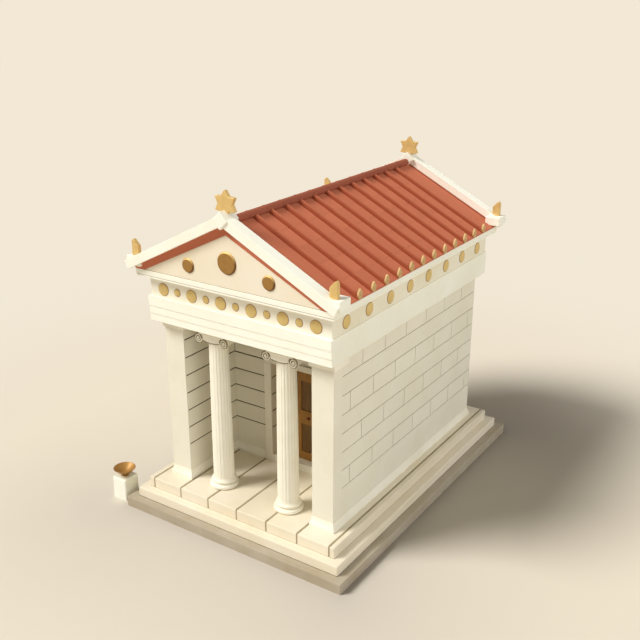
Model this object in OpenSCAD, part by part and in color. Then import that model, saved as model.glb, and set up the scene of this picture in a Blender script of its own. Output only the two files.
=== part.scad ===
// Small Ionic treasury: two columns between antae, a porch and one room with a double door,
// under a gabled tile roof. X runs along the front, +Y to the back, +Z up.
// The origin is on the ground, in the middle of the foundation course.

/* [Base] */
// Ledge of the stylobate outside the side walls
ledge_side = 355; // [300:5:450]
// Ledge of the stylobate in front of the antae and behind the rear wall
ledge_end = 490; // [440:5:700]
// Height of the stylobate course
stylobate_h = 260; // [200:5:320]
// Height of the lower step
step_h = 235; // [180:5:300]
// Tread of the lower step
step_tread = 210; // [160:5:300]
// Height of the foundation course that shows above the ground
foundation_h = 250; // [150:5:350]
// Ledge of the foundation course outside the lower step
foundation_ledge = 205; // [120:5:300]
// Width of the border strip beside the paving slabs
border_w = 140; // [80:5:200]
// Number of paving slabs across the stylobate
slab_count = 6; // [4:1:9]
// Open joint between two slabs
slab_joint = 10; // [4:1:16]

/* [Walls] */
// Width of the building across the outer faces of the side walls
body_w = 4610; // [4500:10:4900]
// Depth of the building from the face of the antae to the rear wall
body_d = 6800; // [6600:10:7200]
// Thickness of the side walls and the rear wall
wall_t = 545; // [450:5:600]
// Height from the stylobate to the underside of the architrave
wall_h = 4050; // [3800:10:4400]
// Depth of the porch from the face of the antae to the door wall
porch_d = 1795; // [1650:5:1950]
// Thickness of the door wall
door_wall_t = 450; // [400:5:520]
// Height of the moulding at the foot of the walls
foot_h = 220; // [160:5:260]
// Projection of the foot moulding
foot_out = 50; // [30:1:60]
// Height of the anta capitals
anta_cap_h = 205; // [150:5:240]
// Depth of the anta capitals, front to back
anta_cap_d = 550; // [450:5:650]
// Projection of the anta capitals
anta_cap_out = 50; // [20:1:80]

/* [Columns] */
// Distance between the two column axes
column_spacing = 1880; // [1700:10:2000]
// Distance from the face of the antae back to the column axes
column_set = 255; // [240:5:300]
// Shaft radius at the foot
shaft_r = 250; // [220:1:265]
// Shaft radius under the capital
shaft_top_r = 220; // [190:1:235]
// Number of flutes on a shaft
flute_count = 20; // [16:2:24]
// Depth of a flute
flute_depth = 15; // [8:1:20]
// Outer radius of the lower torus of the base
torus_r = 345; // [320:1:380]
// Height of the column base
base_h = 270; // [220:5:320]
// Height of the column capital
capital_h = 395; // [360:5:430]
// Radius of the volutes
volute_r = 115; // [90:1:125]
// Distance between the volute eyes of one capital
volute_spacing = 708; // [660:2:740]
// Depth of a capital, front to back
capital_d = 500; // [460:5:560]

/* [Door] */
// Clear width of the doorway
door_w = 1266; // [1100:2:1400]
// Clear height of the doorway over the threshold
door_h = 2470; // [2200:10:2600]
// Height of the threshold over the porch floor
threshold_h = 185; // [120:5:220]
// Width of the stone casing round the doorway
casing_w = 200; // [150:5:240]
// Height of the casing over the doorway
casing_head_h = 150; // [120:5:200]
// Projection of the casing in front of the door wall
casing_out = 40; // [20:1:70]
// Depth from the face of the door wall to the leaves
leaf_set = 185; // [150:5:200]
// Thickness of a leaf
leaf_t = 70; // [60:1:80]
// Width of the stiles of a leaf
stile_w = 100; // [70:5:130]
// Height of the bottom rail
bottom_rail_h = 214; // [160:2:260]
// Height of the middle rail
middle_rail_h = 360; // [260:5:400]
// Height of the top rail
top_rail_h = 344; // [200:2:380]
// Height of the lower panel
lower_panel_h = 760; // [600:10:800]
// Thickness of the sunk panels
panel_t = 24; // [16:1:36]
// Radius of the round boss on a leaf
boss_r = 45; // [30:1:48]
// Radius of the pivot pins
pivot_r = 15; // [12:1:20]
// Length of a pivot pin in its socket
pivot_in = 36; // [24:1:50]

/* [Entablature] */
// Height of the lower fascia of the architrave
fascia_low_h = 180; // [150:5:210]
// Height of the middle fascia
fascia_mid_h = 185; // [150:5:210]
// Height of the upper fascia
fascia_top_h = 225; // [180:5:260]
// Step out from one fascia to the next
fascia_step = 25; // [10:1:35]
// Projection of the architrave in front of the antae
architrave_front = 270; // [220:5:300]
// Projection of the architrave outside the side walls
architrave_side = 145; // [110:5:180]
// Depth of the front architrave
architrave_d = 870; // [800:5:900]
// Height of the frieze
frieze_h = 415; // [350:5:460]
// Set-back of the frieze behind the side architraves
frieze_set = 28; // [10:1:40]
// Height of the bed moulding under the cornice
bed_h = 90; // [60:5:120]
// Projection of the bed moulding in front of the frieze
bed_out = 130; // [80:5:160]
// Height of the cornice
cornice_h = 165; // [130:5:200]
// Projection of the cornice outside the frieze at the sides
cornice_side = 188; // [150:2:220]
// Projection of the cornice outside the frieze at the ends
cornice_end = 240; // [180:5:280]
// Radius of the large frieze discs
disc_r = 148; // [120:1:180]
// Radius of the small frieze discs
small_disc_r = 92; // [70:1:125]
// Number of large discs on an end
end_discs = 6; // [4:1:7]
// Spacing of the large discs on an end
end_disc_pitch = 815; // [760:1:830]
// Number of large discs on a side
side_discs = 8; // [5:1:9]
// Spacing of the large discs on a side
side_disc_pitch = 892; // [760:1:900]
// Projection of the frieze discs
disc_out = 32; // [15:1:45]
// Height of the discs on the ends over the architrave
end_disc_up = 192; // [185:1:230]
// Height of the discs on the sides over the architrave
side_disc_up = 215; // [185:1:230]

/* [Roof] */
// Height from the cornice to the underside of the roof at the ridge
gable_h = 1136; // [1080:1:1200]
// Distance from the side edge of the cornice in to the foot of the gable
gable_in = 270; // [200:5:320]
// Height of the roof slopes at the ridge
roof_ridge_t = 214; // [180:1:240]
// Height of the roof slopes over the cornice at the eave
roof_eave_t = 29; // [20:1:50]
// Overhang of the roof outside the side cornice
eave_out = 5; // [0:1:30]
// Width of the round cover tiles that run down the roof
rib_w = 160; // [120:2:180]
// Height of the cover tiles over the roof
rib_h = 78; // [60:1:90]
// Radius of the ridge cover
ridge_r = 110; // [90:1:130]
// Height of the middle of the ridge cover over the roof slopes
ridge_lift = 35; // [0:1:50]
// Height of the raking cornice, square to the slope
rake_h = 205; // [170:1:230]
// Depth of the raking cornice, front to back
rake_d = 280; // [240:5:320]
// Overhang of the raking cornice past the eave
rake_over = 85; // [60:5:120]
// Projection of the raking cornice in front of the roof slopes
rake_out = 145; // [100:5:170]
// Set-back of the tympanum behind the face of the cornice
tympanum_set = 12; // [5:1:30]
// Thickness of the tympanum
tympanum_t = 300; // [200:10:360]
// Radius of the middle disc of the gable
gable_disc_r = 248; // [220:1:300]
// Height of the middle disc over the cornice
gable_disc_up = 541; // [500:1:560]
// Radius of the side discs of the gable
gable_side_disc_r = 166; // [150:1:200]
// Height of the side discs over the cornice
gable_side_disc_up = 313; // [280:1:320]
// Distance from the middle to a side disc
gable_disc_x = 1058; // [950:1:1100]
// Projection of the gable discs
gable_disc_out = 45; // [25:1:60]

/* [Ornaments] */
// Side of the square ridge block, which lies on its edge
ridge_block = 274; // [240:1:290]
// Length of the ridge block, front to back
ridge_block_d = 415; // [400:5:460]
// Projection of the ridge block in front of the raking cornice
ridge_block_out = 35; // [10:5:60]
// Tip radius of the star on the ridge block
star_r = 295; // [240:1:320]
// Radius of the notches of the star, as a share of its tip radius
star_notch = 0.62; // [0.5:0.01:0.75]
// Thickness of the star
star_t = 105; // [70:1:140]
// Height of the middle of the star over the middle of the ridge block
star_up = 308; // [280:1:330]
// Distance from the front of the ridge block back to the middle of the star
star_back = 235; // [150:5:260]
// Width of a corner block
corner_block_w = 390; // [340:5:400]
// Depth of a corner block
corner_block_d = 395; // [300:5:400]
// Height of a corner block
corner_block_h = 220; // [200:5:250]
// Height of the underside of a corner block over the cornice
corner_block_up = 60; // [20:1:70]
// Set-back of a corner block behind the face of the raking cornice
corner_block_set = 75; // [40:5:100]
// Height of a corner leaf
corner_leaf_h = 365; // [300:5:400]
// Width of a corner leaf
corner_leaf_w = 190; // [160:5:220]
// Thickness of a corner leaf
corner_leaf_t = 100; // [60:5:140]
// Distance from the outer face of a corner block in to the leaf
corner_leaf_in = 110; // [60:5:160]
// Number of antefixes along an eave
antefix_count = 12; // [8:1:13]
// Spacing of the antefixes
antefix_pitch = 539; // [440:1:560]
// Height of an antefix
antefix_h = 220; // [180:5:260]
// Width of an antefix
antefix_w = 160; // [110:5:180]
// Thickness of an antefix
antefix_t = 54; // [40:2:70]

/* [Altar] */
// Side of the square altar block
altar_w = 445; // [380:5:460]
// Height of the altar block
altar_h = 580; // [450:10:650]
// Gap between the foundation course and the altar block
altar_gap = 130; // [60:5:240]
// Distance from the front edge of the foundation course back to the altar block
altar_back = 100; // [0:10:400]
// Radius of the rim of the offering bowl
bowl_r = 270; // [220:5:280]
// Height of the offering bowl
bowl_h = 200; // [150:5:240]
// Thickness of the bowl
bowl_t = 16; // [12:1:22]

/* [Hidden] */

marble = "#EFE8D8";
base_stone = "#C8B692";
tile = "#B85A38";
gold = "#E0BE72";
bronze = "#8A5A2C";
door_wood = "#7A5230";

e = 1;                       // overcut, so that no cut ends on a face
joint_gap = 3;               // mortar joint between two pieces of one node
seat = 0.3;                  // play between two sloping faces that lie on each other

// levels
z_step = foundation_h;
z_stylobate = z_step + step_h;
z_floor = z_stylobate + stylobate_h;
z_architrave = z_floor + wall_h;
architrave_h = fascia_low_h + fascia_mid_h + fascia_top_h;
z_frieze = z_architrave + architrave_h;
z_bed = z_frieze + frieze_h;
z_cornice = z_bed + bed_h;
z_roof = z_cornice + cornice_h;
z_door = z_floor + threshold_h;
z_lintel = z_door + door_h;

// half sizes in plan
stylobate_w = body_w + 2 * ledge_side;
stylobate_d = body_d + 2 * ledge_end;
step_hw = stylobate_w / 2 + step_tread;
step_hd = stylobate_d / 2 + step_tread;
foundation_hw = step_hw + foundation_ledge;
foundation_hd = step_hd + foundation_ledge;
body_hw = body_w / 2;
body_hd = body_d / 2;
room_hw = body_hw - wall_t;
y_door_wall = -body_hd + porch_d;
y_room = y_door_wall + door_wall_t;
slab_pitch = (stylobate_w - 2 * border_w) / slab_count;

// columns
column_x = column_spacing / 2;
column_y = -body_hd + column_set;
z_shaft = z_floor + base_h;
z_capital = z_architrave - capital_h;
z_volute = z_capital + volute_r + 13;

// door
door_hw = door_w / 2;
leaf_gap = 6;                // under and over a leaf
meeting_gap = 10;            // between the two leaves
jamb_gap = 10;               // between a leaf and its jamb
pivot_fit = 0.05;            // radial clearance of a pin in its socket
pivot_x = door_hw - jamb_gap - leaf_t / 2;
pivot_y = y_door_wall + leaf_set + leaf_t / 2;
z_leaf = z_door + leaf_gap;
leaf_h_total = door_h - 2 * leaf_gap;
panel_x0 = meeting_gap / 2 + stile_w;
panel_x1 = pivot_x + leaf_t / 2 - stile_w;
upper_panel_h = leaf_h_total - bottom_rail_h - lower_panel_h - middle_rail_h - top_rail_h;
z_lower_panel = z_leaf + bottom_rail_h;
z_middle_rail = z_lower_panel + lower_panel_h;
z_upper_panel = z_middle_rail + middle_rail_h;

// entablature
arch_hw = body_hw + architrave_side;
arch_hd = body_hd + architrave_front;
y_front_in = -arch_hd + architrave_d;    // back of the beam over the porch
y_rear_in = body_hd - wall_t;            // inner face of the rear wall
frieze_hw = arch_hw - frieze_set;
frieze_hd = arch_hd - frieze_set;
cornice_hw = frieze_hw + cornice_side;
cornice_hd = frieze_hd + cornice_end;

// roof
eave_x = cornice_hw + eave_out;
slope_hd = cornice_hd + 3;
gable_hw = cornice_hw - gable_in;
z_eave = z_roof + roof_eave_t;
z_ridge = z_roof + gable_h + roof_ridge_t;
roof_pitch = atan((z_ridge - z_eave) / eave_x);
rake_v = rake_h / cos(roof_pitch);
rake_reach = eave_x + rake_over;
rake_y = slope_hd + rake_out;
z_rake = z_ridge + seat;

// ornaments
z_block = z_rake + rake_v / 2;
ridge_half = ridge_block / sqrt(2);
ridge_block_y = rake_y + ridge_block_out;
star_y = ridge_block_y - star_back;
z_star = z_block + star_up;
corner_x = rake_reach + rake_h * sin(roof_pitch);
corner_y = rake_y - corner_block_set;
z_corner = z_roof + corner_block_up;
z_leaf_foot = z_corner + corner_block_h;
corner_leaf_x = corner_x - corner_leaf_in;
corner_leaf_y = corner_y - corner_block_set;

// altar
altar_x = -foundation_hw - altar_gap - altar_w / 2;
altar_y = -foundation_hd + altar_back + altar_w / 2;

module box(x0, x1, y0, y1, z0, z1) {
    translate([x0, y0, z0]) cube([x1 - x0, y1 - y0, z1 - z0]);
}

module both_sides() {
    children();
    mirror([1, 0, 0]) children();
}

module both_ends() {
    children();
    mirror([0, 1, 0]) children();
}

// ---- base ----

module foundation_course() color(base_stone) {
    box(-foundation_hw, foundation_hw, -foundation_hd, foundation_hd, 0, foundation_h);
}

module lower_step() color(marble) {
    box(-step_hw, step_hw, -step_hd, step_hd, z_step, z_stylobate);
}

// long slabs from the front edge to the back, with a border strip on each side
module stylobate_slabs() color(marble) {
    hd = stylobate_d / 2;
    for (i = [0 : slab_count - 1]) {
        x0 = -stylobate_w / 2 + border_w + i * slab_pitch;
        box(x0 + slab_joint / 2, x0 + slab_pitch - slab_joint / 2, -hd, hd, z_stylobate, z_floor);
    }
    both_sides()
        box(stylobate_w / 2 - border_w + slab_joint / 2, stylobate_w / 2, -hd, hd, z_stylobate, z_floor);
}

// ---- walls ----

// right side wall with its anta; its top front corner is cut away for the capital
module side_wall() color(marble) {
    difference() {
        box(room_hw, body_hw, -body_hd, body_hd, z_floor, z_architrave);
        box(room_hw - e, body_hw + e, -body_hd - e, -body_hd - anta_cap_out + anta_cap_d,
            z_architrave - anta_cap_h, z_architrave + e);
    }
}

module right_wall() {
    side_wall();
}

module left_wall() {
    mirror([1, 0, 0]) side_wall();
}

module rear_wall() color(marble) {
    box(-room_hw, room_hw, body_hd - wall_t, body_hd, z_floor, z_architrave);
}

module door_wall_piers() color(marble) {
    both_sides() box(door_hw, room_hw, y_door_wall, y_room, z_floor, z_lintel);
}

// wall over the doorway, with the upper pivot sockets in its underside
module door_wall_over() color(marble) {
    difference() {
        box(-room_hw, room_hw, y_door_wall, y_room, z_lintel, z_architrave);
        both_sides() translate([pivot_x, pivot_y, z_lintel - e])
            cylinder(r = pivot_r + pivot_fit, h = pivot_in + e, $fn = 48);
    }
}

// profile of the foot moulding: [projection, height] from the floor up
foot_profile = [
    [foot_out, 0], [foot_out, foot_h * 0.3], [foot_out * 0.8, foot_h * 0.34],
    [foot_out * 0.44, foot_h * 0.55], [foot_out * 0.2, foot_h * 0.8],
    [foot_out * 0.2, foot_h], [0, foot_h]
];

// foot moulding round a rectangle of half sizes hx and hy, mitred at its corners
module foot_ring(hx, hy) {
    difference() {
        intersection() {
            foot_bar(hx, hy + foot_out + e);
            rotate([0, 0, 90]) foot_bar(hy, hx + foot_out + e);
        }
        box(-hx, hx, -hy, hy, -e, foot_h + e);
    }
}

module foot_bar(hx, half_length) {
    right = [for (p = foot_profile) [hx + p[0], p[1]]];
    left = [for (i = [len(foot_profile) - 1 : -1 : 0]) [-hx - foot_profile[i][0], foot_profile[i][1]]];
    translate([0, half_length, 0]) rotate([90, 0, 0])
        linear_extrude(2 * half_length) polygon(concat(right, left));
}

// right half: the outside with half of the rear, the anta, and the right side of the porch
module foot_moulding_half() color(marble) {
    translate([0, 0, z_floor]) {
        difference() {
            foot_ring(body_hw, body_hd);
            box(-body_hw * 2, 0, -body_hd * 2, body_hd * 2, -e, foot_h + e);
            box(-e, room_hw + e, -body_hd * 2, 0, -e, foot_h + e);
        }
        difference() {
            translate([room_hw + wall_t / 2, 0, 0]) foot_ring(wall_t / 2, body_hd);
            box(body_hw, body_hw * 2, -body_hd * 2, body_hd * 2, -e, foot_h + e);
            box(0, body_hw * 2, y_door_wall, body_hd * 2, -e, foot_h + e);
        }
        difference() {
            translate([0, y_door_wall + body_hd, 0]) foot_ring(body_hw * 2, body_hd);
            box(-body_hw * 3, door_hw + casing_w, -body_hd * 3, body_hd * 3, -e, foot_h + e);
            box(room_hw, body_hw * 3, -body_hd * 3, body_hd * 3, -e, foot_h + e);
            box(-body_hw * 3, body_hw * 3, y_door_wall, body_hd * 3, -e, foot_h + e);
        }
    }
}

module foot_moulding_right() {
    foot_moulding_half();
}

module foot_moulding_left() {
    mirror([1, 0, 0]) foot_moulding_half();
}

module anta_capitals() color(marble) {
    both_sides() box(room_hw - anta_cap_out, body_hw + anta_cap_out,
        -body_hd - anta_cap_out, -body_hd - anta_cap_out + anta_cap_d,
        z_architrave - anta_cap_h, z_architrave);
}

// ---- columns ----

torus_h = base_h * 0.4;
scotia_h = base_h * 0.2;
upper_torus_h = base_h * 0.32;
base_fillet_h = base_h - torus_h - scotia_h - upper_torus_h;
upper_torus_r = torus_r - 45;

module torus_ring(outer_r, h) {
    translate([0, 0, h / 2]) rotate_extrude($fn = 64) union() {
        translate([0, -h / 2]) square([outer_r - h / 2, h]);
        translate([outer_r - h / 2, 0]) circle(r = h / 2, $fn = 32);
    }
}

module column_base() {
    torus_ring(torus_r, torus_h);
    translate([0, 0, torus_h - e]) cylinder(r = upper_torus_r - 25, h = scotia_h + 2 * e, $fn = 64);
    translate([0, 0, torus_h + scotia_h]) torus_ring(upper_torus_r, upper_torus_h);
    translate([0, 0, torus_h + scotia_h + upper_torus_h - e])
        cylinder(r = shaft_r + 12, h = base_fillet_h + e, $fn = 64);
}

module column_bases() color(marble) {
    both_sides() translate([column_x, column_y, z_floor]) column_base();
}

// outline of a fluted shaft: a narrow fillet, then a hollow of three points
function flute_outline(r) = [
    for (i = [0 : flute_count - 1], s = [-0.5, -0.36, -0.18, 0.18, 0.36])
        let (a = (i + s) * 360 / flute_count, in = s == -0.5 || abs(s) == 0.36 ? 0 : 1)
        (r - in * flute_depth) * [cos(a), sin(a)]
];

module column_shafts() color(marble) {
    both_sides() translate([column_x, column_y, z_shaft])
        linear_extrude(z_capital - z_shaft, scale = shaft_top_r / shaft_r)
            polygon(flute_outline(shaft_r));
}

// the side roll of a capital, waisted in the middle
module bolster() {
    waist = volute_r * 0.72;
    half = capital_d / 2;
    rotate([90, 0, 0]) rotate_extrude($fn = 48) polygon([
        [0, -half], [volute_r, -half], [volute_r, -half * 0.82], [waist, -half * 0.3],
        [waist, half * 0.3], [volute_r, half * 0.82], [volute_r, half], [0, half]
    ]);
}

echinus_h = 95;
abacus_low_h = 65;

module column_capital() {
    z_abacus = z_volute - z_capital + volute_r;
    cylinder(r1 = shaft_top_r, r2 = shaft_top_r + 60, h = echinus_h, $fn = 64);
    box(-volute_spacing / 2, volute_spacing / 2, -capital_d / 2 + 12, capital_d / 2 - 12,
        echinus_h - 15, z_abacus);
    for (s = [-1, 1]) translate([s * volute_spacing / 2, 0, z_volute - z_capital]) bolster();
    box(-volute_spacing / 2 + 20, volute_spacing / 2 - 20, -capital_d / 2 + 20, capital_d / 2 - 20,
        z_abacus - e, z_abacus + abacus_low_h);
    box(-volute_spacing / 2 - 20, volute_spacing / 2 + 20, -capital_d / 2 - 10, capital_d / 2 + 10,
        z_abacus + abacus_low_h - e, capital_h);
}

module column_capitals() color(marble) {
    both_sides() translate([column_x, column_y, z_capital]) column_capital();
}

// ---- door ----

module threshold() color(marble) {
    difference() {
        box(-door_hw, door_hw, y_door_wall - casing_out, y_room, z_floor, z_door);
        both_sides() translate([pivot_x, pivot_y, z_door - pivot_in])
            cylinder(r = pivot_r + pivot_fit, h = pivot_in + e, $fn = 48);
    }
}

module door_casing() color(marble) {
    both_sides() box(door_hw, door_hw + casing_w, y_door_wall - casing_out, y_door_wall,
        z_floor, z_lintel - joint_gap);
    box(-door_hw - casing_w, door_hw + casing_w, y_door_wall - casing_out, y_door_wall,
        z_lintel, z_lintel + casing_head_h);
}

// right leaf: stiles and rails round two openings, with a round heel and two pivot pins
module leaf_frame() color(door_wood) {
    y0 = pivot_y - leaf_t / 2;
    y1 = pivot_y + leaf_t / 2;
    difference() {
        union() {
            box(meeting_gap / 2, pivot_x, y0, y1, z_leaf, z_leaf + leaf_h_total);
            translate([pivot_x, pivot_y, z_leaf]) cylinder(r = leaf_t / 2, h = leaf_h_total, $fn = 48);
        }
        box(panel_x0, panel_x1, y0 - e, y1 + e, z_lower_panel, z_middle_rail);
        box(panel_x0, panel_x1, y0 - e, y1 + e, z_upper_panel, z_upper_panel + upper_panel_h);
    }
    translate([pivot_x, pivot_y, z_door - pivot_in + leaf_gap])
        cylinder(r = pivot_r, h = pivot_in, $fn = 48);
    translate([pivot_x, pivot_y, z_leaf + leaf_h_total])
        cylinder(r = pivot_r, h = pivot_in, $fn = 48);
}

module leaf_panels() color(door_wood) {
    y0 = pivot_y - panel_t / 2;
    box(panel_x0, panel_x1, y0, y0 + panel_t, z_lower_panel, z_middle_rail);
    box(panel_x0, panel_x1, y0, y0 + panel_t, z_upper_panel, z_upper_panel + upper_panel_h);
}

// round plate with a knob, in the middle of the middle rail
module leaf_boss() color(bronze) {
    translate([(panel_x0 + panel_x1) / 2, pivot_y - leaf_t / 2, z_middle_rail + middle_rail_h / 2])
        rotate([90, 0, 0]) {
            cylinder(r1 = boss_r, r2 = boss_r - 6, h = 10, $fn = 48);
            cylinder(r = boss_r * 0.3, h = 30, $fn = 32);
            translate([0, 0, 30]) sphere(r = boss_r * 0.42, $fn = 32);
        }
}

module right_leaf_frame() {
    leaf_frame();
}

module left_leaf_frame() {
    mirror([1, 0, 0]) leaf_frame();
}

module right_leaf_panels() {
    leaf_panels();
}

module left_leaf_panels() {
    mirror([1, 0, 0]) leaf_panels();
}

module right_leaf_boss() {
    leaf_boss();
}

module left_leaf_boss() {
    mirror([1, 0, 0]) leaf_boss();
}

// ---- entablature ----

// beam across the front: three fasciae, each one step in front of the one below
module front_architrave() color(marble) {
    box(-arch_hw, arch_hw, -arch_hd, y_front_in, z_architrave, z_frieze);
    box(-arch_hw, arch_hw, -arch_hd - fascia_step, y_front_in, z_architrave + fascia_low_h, z_frieze);
    box(-arch_hw, arch_hw, -arch_hd - 2 * fascia_step, y_front_in,
        z_architrave + fascia_low_h + fascia_mid_h, z_frieze);
}

module rear_architrave() color(marble) {
    box(-arch_hw, arch_hw, y_rear_in, arch_hd, z_architrave, z_frieze);
}

module side_architraves() color(marble) {
    both_sides() box(room_hw, arch_hw, y_front_in, y_rear_in, z_architrave, z_frieze);
}

module frieze_ends() color(marble) {
    box(-frieze_hw, frieze_hw, -frieze_hd, y_front_in, z_frieze, z_cornice);
    box(-frieze_hw, frieze_hw, y_rear_in, frieze_hd, z_frieze, z_cornice);
}

module frieze_sides() color(marble) {
    both_sides() box(room_hw, frieze_hw, y_front_in, y_rear_in, z_frieze, z_cornice);
}

// shallow dome of radius r that stands out h along +Z
module dome(r, h) {
    ball_r = (r * r + h * h) / (2 * h);
    rotate_extrude($fn = 48) intersection() {
        square([r, h]);
        translate([0, h - ball_r]) circle(r = ball_r, $fn = 180);
    }
}

module end_disc_row() {
    z = z_frieze + end_disc_up;
    for (i = [0 : end_discs - 1])
        translate([(i - (end_discs - 1) / 2) * end_disc_pitch, -frieze_hd, z])
            rotate([90, 0, 0]) dome(disc_r, disc_out);
    for (i = [0 : end_discs - 2])
        translate([(i - (end_discs - 2) / 2) * end_disc_pitch, -frieze_hd, z])
            rotate([90, 0, 0]) dome(small_disc_r, disc_out * 0.8);
}

module side_disc_row() {
    z = z_frieze + side_disc_up;
    for (i = [0 : side_discs - 1])
        translate([frieze_hw, (i - (side_discs - 1) / 2) * side_disc_pitch, z])
            rotate([0, 90, 0]) dome(disc_r, disc_out);
}

module frieze_discs() color(gold) {
    both_ends() end_disc_row();
    both_sides() side_disc_row();
}

// strip in the angle between the frieze and the cornice, on the two ends
module bed_mouldings() color(marble) {
    both_ends() box(-frieze_hw - frieze_set, frieze_hw + frieze_set, -frieze_hd - bed_out, -frieze_hd,
        z_bed, z_cornice);
}

module cornice_ends() color(marble) {
    box(-cornice_hw, cornice_hw, -cornice_hd, y_front_in, z_cornice, z_roof);
    box(-cornice_hw, cornice_hw, y_rear_in, cornice_hd, z_cornice, z_roof);
}

module cornice_sides() color(marble) {
    both_sides() box(room_hw, cornice_hw, y_front_in, y_rear_in, z_cornice, z_roof);
}

// ---- gables and roof ----

module tympana() color(marble) {
    y = cornice_hd - tympanum_set;
    both_ends() translate([0, -y + tympanum_t, z_roof]) rotate([90, 0, 0])
        linear_extrude(tympanum_t) polygon([[-gable_hw, 0], [gable_hw, 0], [0, gable_h - seat]]);
}

// round shield, widest in front, that tapers back to the tympanum
module gable_disc(r) {
    rim = 8;
    rotate([90, 0, 0]) {
        cylinder(r1 = r - gable_disc_out, r2 = r, h = gable_disc_out - rim, $fn = 64);
        translate([0, 0, gable_disc_out - rim]) cylinder(r1 = r, r2 = r - rim, h = rim, $fn = 64);
    }
}

module gable_discs() color(bronze) {
    y = -(cornice_hd - tympanum_set);
    both_ends() {
        translate([0, y, z_roof + gable_disc_up]) gable_disc(gable_disc_r);
        for (s = [-1, 1])
            translate([s * gable_disc_x, y, z_roof + gable_side_disc_up]) gable_disc(gable_side_disc_r);
    }
}

// a bar that follows the right slope: z0 is the height of its underside at the ridge,
// h its height square to the slope, reach the distance of its lower tip from the middle
module slope_bar(z0, h, reach, y0, y1) {
    run = reach / cos(roof_pitch);
    translate([0, 0, z0]) rotate([0, roof_pitch, 0])
        translate([-h * tan(roof_pitch) - e, y0, 0]) cube([run + h * tan(roof_pitch) + e, y1 - y0, h]);
}

// outline of a cover tile: half an ellipse over a short foot that sinks into the roof
rib_foot = 15;
rib_outline = concat([[-rib_w / 2, -rib_foot]],
    [for (i = [0 : 8]) [-rib_w / 2 * cos(i * 22.5), rib_h * sin(i * 22.5)]],
    [[rib_w / 2, -rib_foot]]);

// rows of cover tiles on the right slope, from the ridge cover to the backs of the antefixes
module roof_ribs() {
    run = eave_x / cos(roof_pitch);
    intersection() {
        for (i = [0 : antefix_count - 1])
            translate([0, (i - (antefix_count - 1) / 2) * antefix_pitch, z_ridge])
                rotate([0, roof_pitch, 0]) rotate([90, 0, 90])
                    linear_extrude(run) polygon(rib_outline);
        box(ridge_r + seat, eave_x - antefix_t, -slope_hd, slope_hd, z_roof, z_ridge + rib_h * 2);
    }
}

// right roof slope: thin at the eave, where it lies on the cornice, and thick at the ridge
module roof_slope() color(tile) {
    difference() {
        union() {
            translate([0, slope_hd, 0]) rotate([90, 0, 0]) linear_extrude(2 * slope_hd) polygon([
                [0, z_roof + gable_h], [0, z_ridge], [eave_x, z_eave], [eave_x, z_roof],
                [gable_hw, z_roof]
            ]);
            roof_ribs();
        }
        both_ends() corner_box();
        both_ends() ridge_prism();
    }
}

module right_roof_slope() {
    roof_slope();
}

module left_roof_slope() {
    mirror([1, 0, 0]) roof_slope();
}

// round cover along the ridge, between the two raking cornices
module ridge_cover() color(tile) {
    half = rake_y - rake_d;
    under = ridge_r * 3;
    difference() {
        translate([0, half, z_ridge + ridge_lift]) rotate([90, 0, 0])
            cylinder(r = ridge_r, h = 2 * half, $fn = 48);
        both_sides() slope_bar(z_rake - under, under * cos(roof_pitch), ridge_r * 2, -half - e, half + e);
        both_ends() ridge_prism();
    }
}

// right half of the cornice over the front gable
module raking_bar() {
    difference() {
        slope_bar(z_rake, rake_h, rake_reach, -rake_y, -rake_y + rake_d);
        box(-rake_reach, 0, -rake_y - e, -rake_y + rake_d + e, z_rake - rake_v, z_rake + rake_v * 3);
        ridge_prism();
    }
}

module front_raking_cornices() color(marble) {
    both_sides() raking_bar();
}

module rear_raking_cornices() color(marble) {
    mirror([0, 1, 0]) both_sides() raking_bar();
}

// square bar on its edge, where the two raking cornices meet
module ridge_prism() {
    translate([0, -ridge_block_y + ridge_block_d, z_block]) rotate([90, 45, 0])
        linear_extrude(ridge_block_d) square(ridge_block, center = true);
}

module ridge_blocks() color(marble) {
    both_ends() ridge_prism();
}

module corner_box() {
    both_sides() box(corner_x - corner_block_w, corner_x, -corner_y, -corner_y + corner_block_d,
        z_corner, z_leaf_foot);
}

// room that the right raking cornice takes up in the pieces round its lower tip
module rake_cut() {
    slope_bar(z_rake, rake_h, rake_reach, -rake_y - e, -rake_y + rake_d);
}

// block in the corner of the roof, round the tip of the raking cornice
module corner_blocks() color(marble) {
    both_ends() difference() {
        corner_box();
        both_sides() rake_cut();
    }
}

// ---- ornaments ----

star_points = [
    for (i = [0 : 11])
        let (r = i % 2 == 0 ? star_r : star_r * star_notch)
        r * [sin(i * 30), cos(i * 30)]
];

module ridge_stars() color(gold) {
    both_ends() difference() {
        translate([0, -star_y + star_t / 2, z_star]) rotate([90, 0, 0])
            linear_extrude(star_t) polygon(star_points);
        ridge_prism();
    }
}

// half leaf: an upright outer edge, a point near it and a shoulder on the inner side
corner_leaf_outline = [
    for (p = [[0, 0], [0, 0.82], [0.1, 0.96], [0.24, 1], [0.4, 0.94], [0.66, 0.8], [0.9, 0.67],
              [1, 0.58], [1, 0]]) [-p[0] * corner_leaf_w, p[1] * corner_leaf_h]
];

module corner_leaves() color(gold) {
    both_ends() both_sides() difference() {
        translate([corner_leaf_x, -corner_leaf_y + corner_leaf_t, z_leaf_foot]) rotate([90, 0, 0])
            linear_extrude(corner_leaf_t) polygon(corner_leaf_outline);
        rake_cut();
    }
}

// pointed leaf, narrow at the foot
antefix_outline = [
    for (p = [[-0.3, 0], [-0.42, 0.16], [-0.5, 0.38], [-0.42, 0.58], [-0.22, 0.82], [0, 1],
              [0.22, 0.82], [0.42, 0.58], [0.5, 0.38], [0.42, 0.16], [0.3, 0]])
        [p[0] * antefix_w, p[1] * antefix_h]
];

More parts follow.
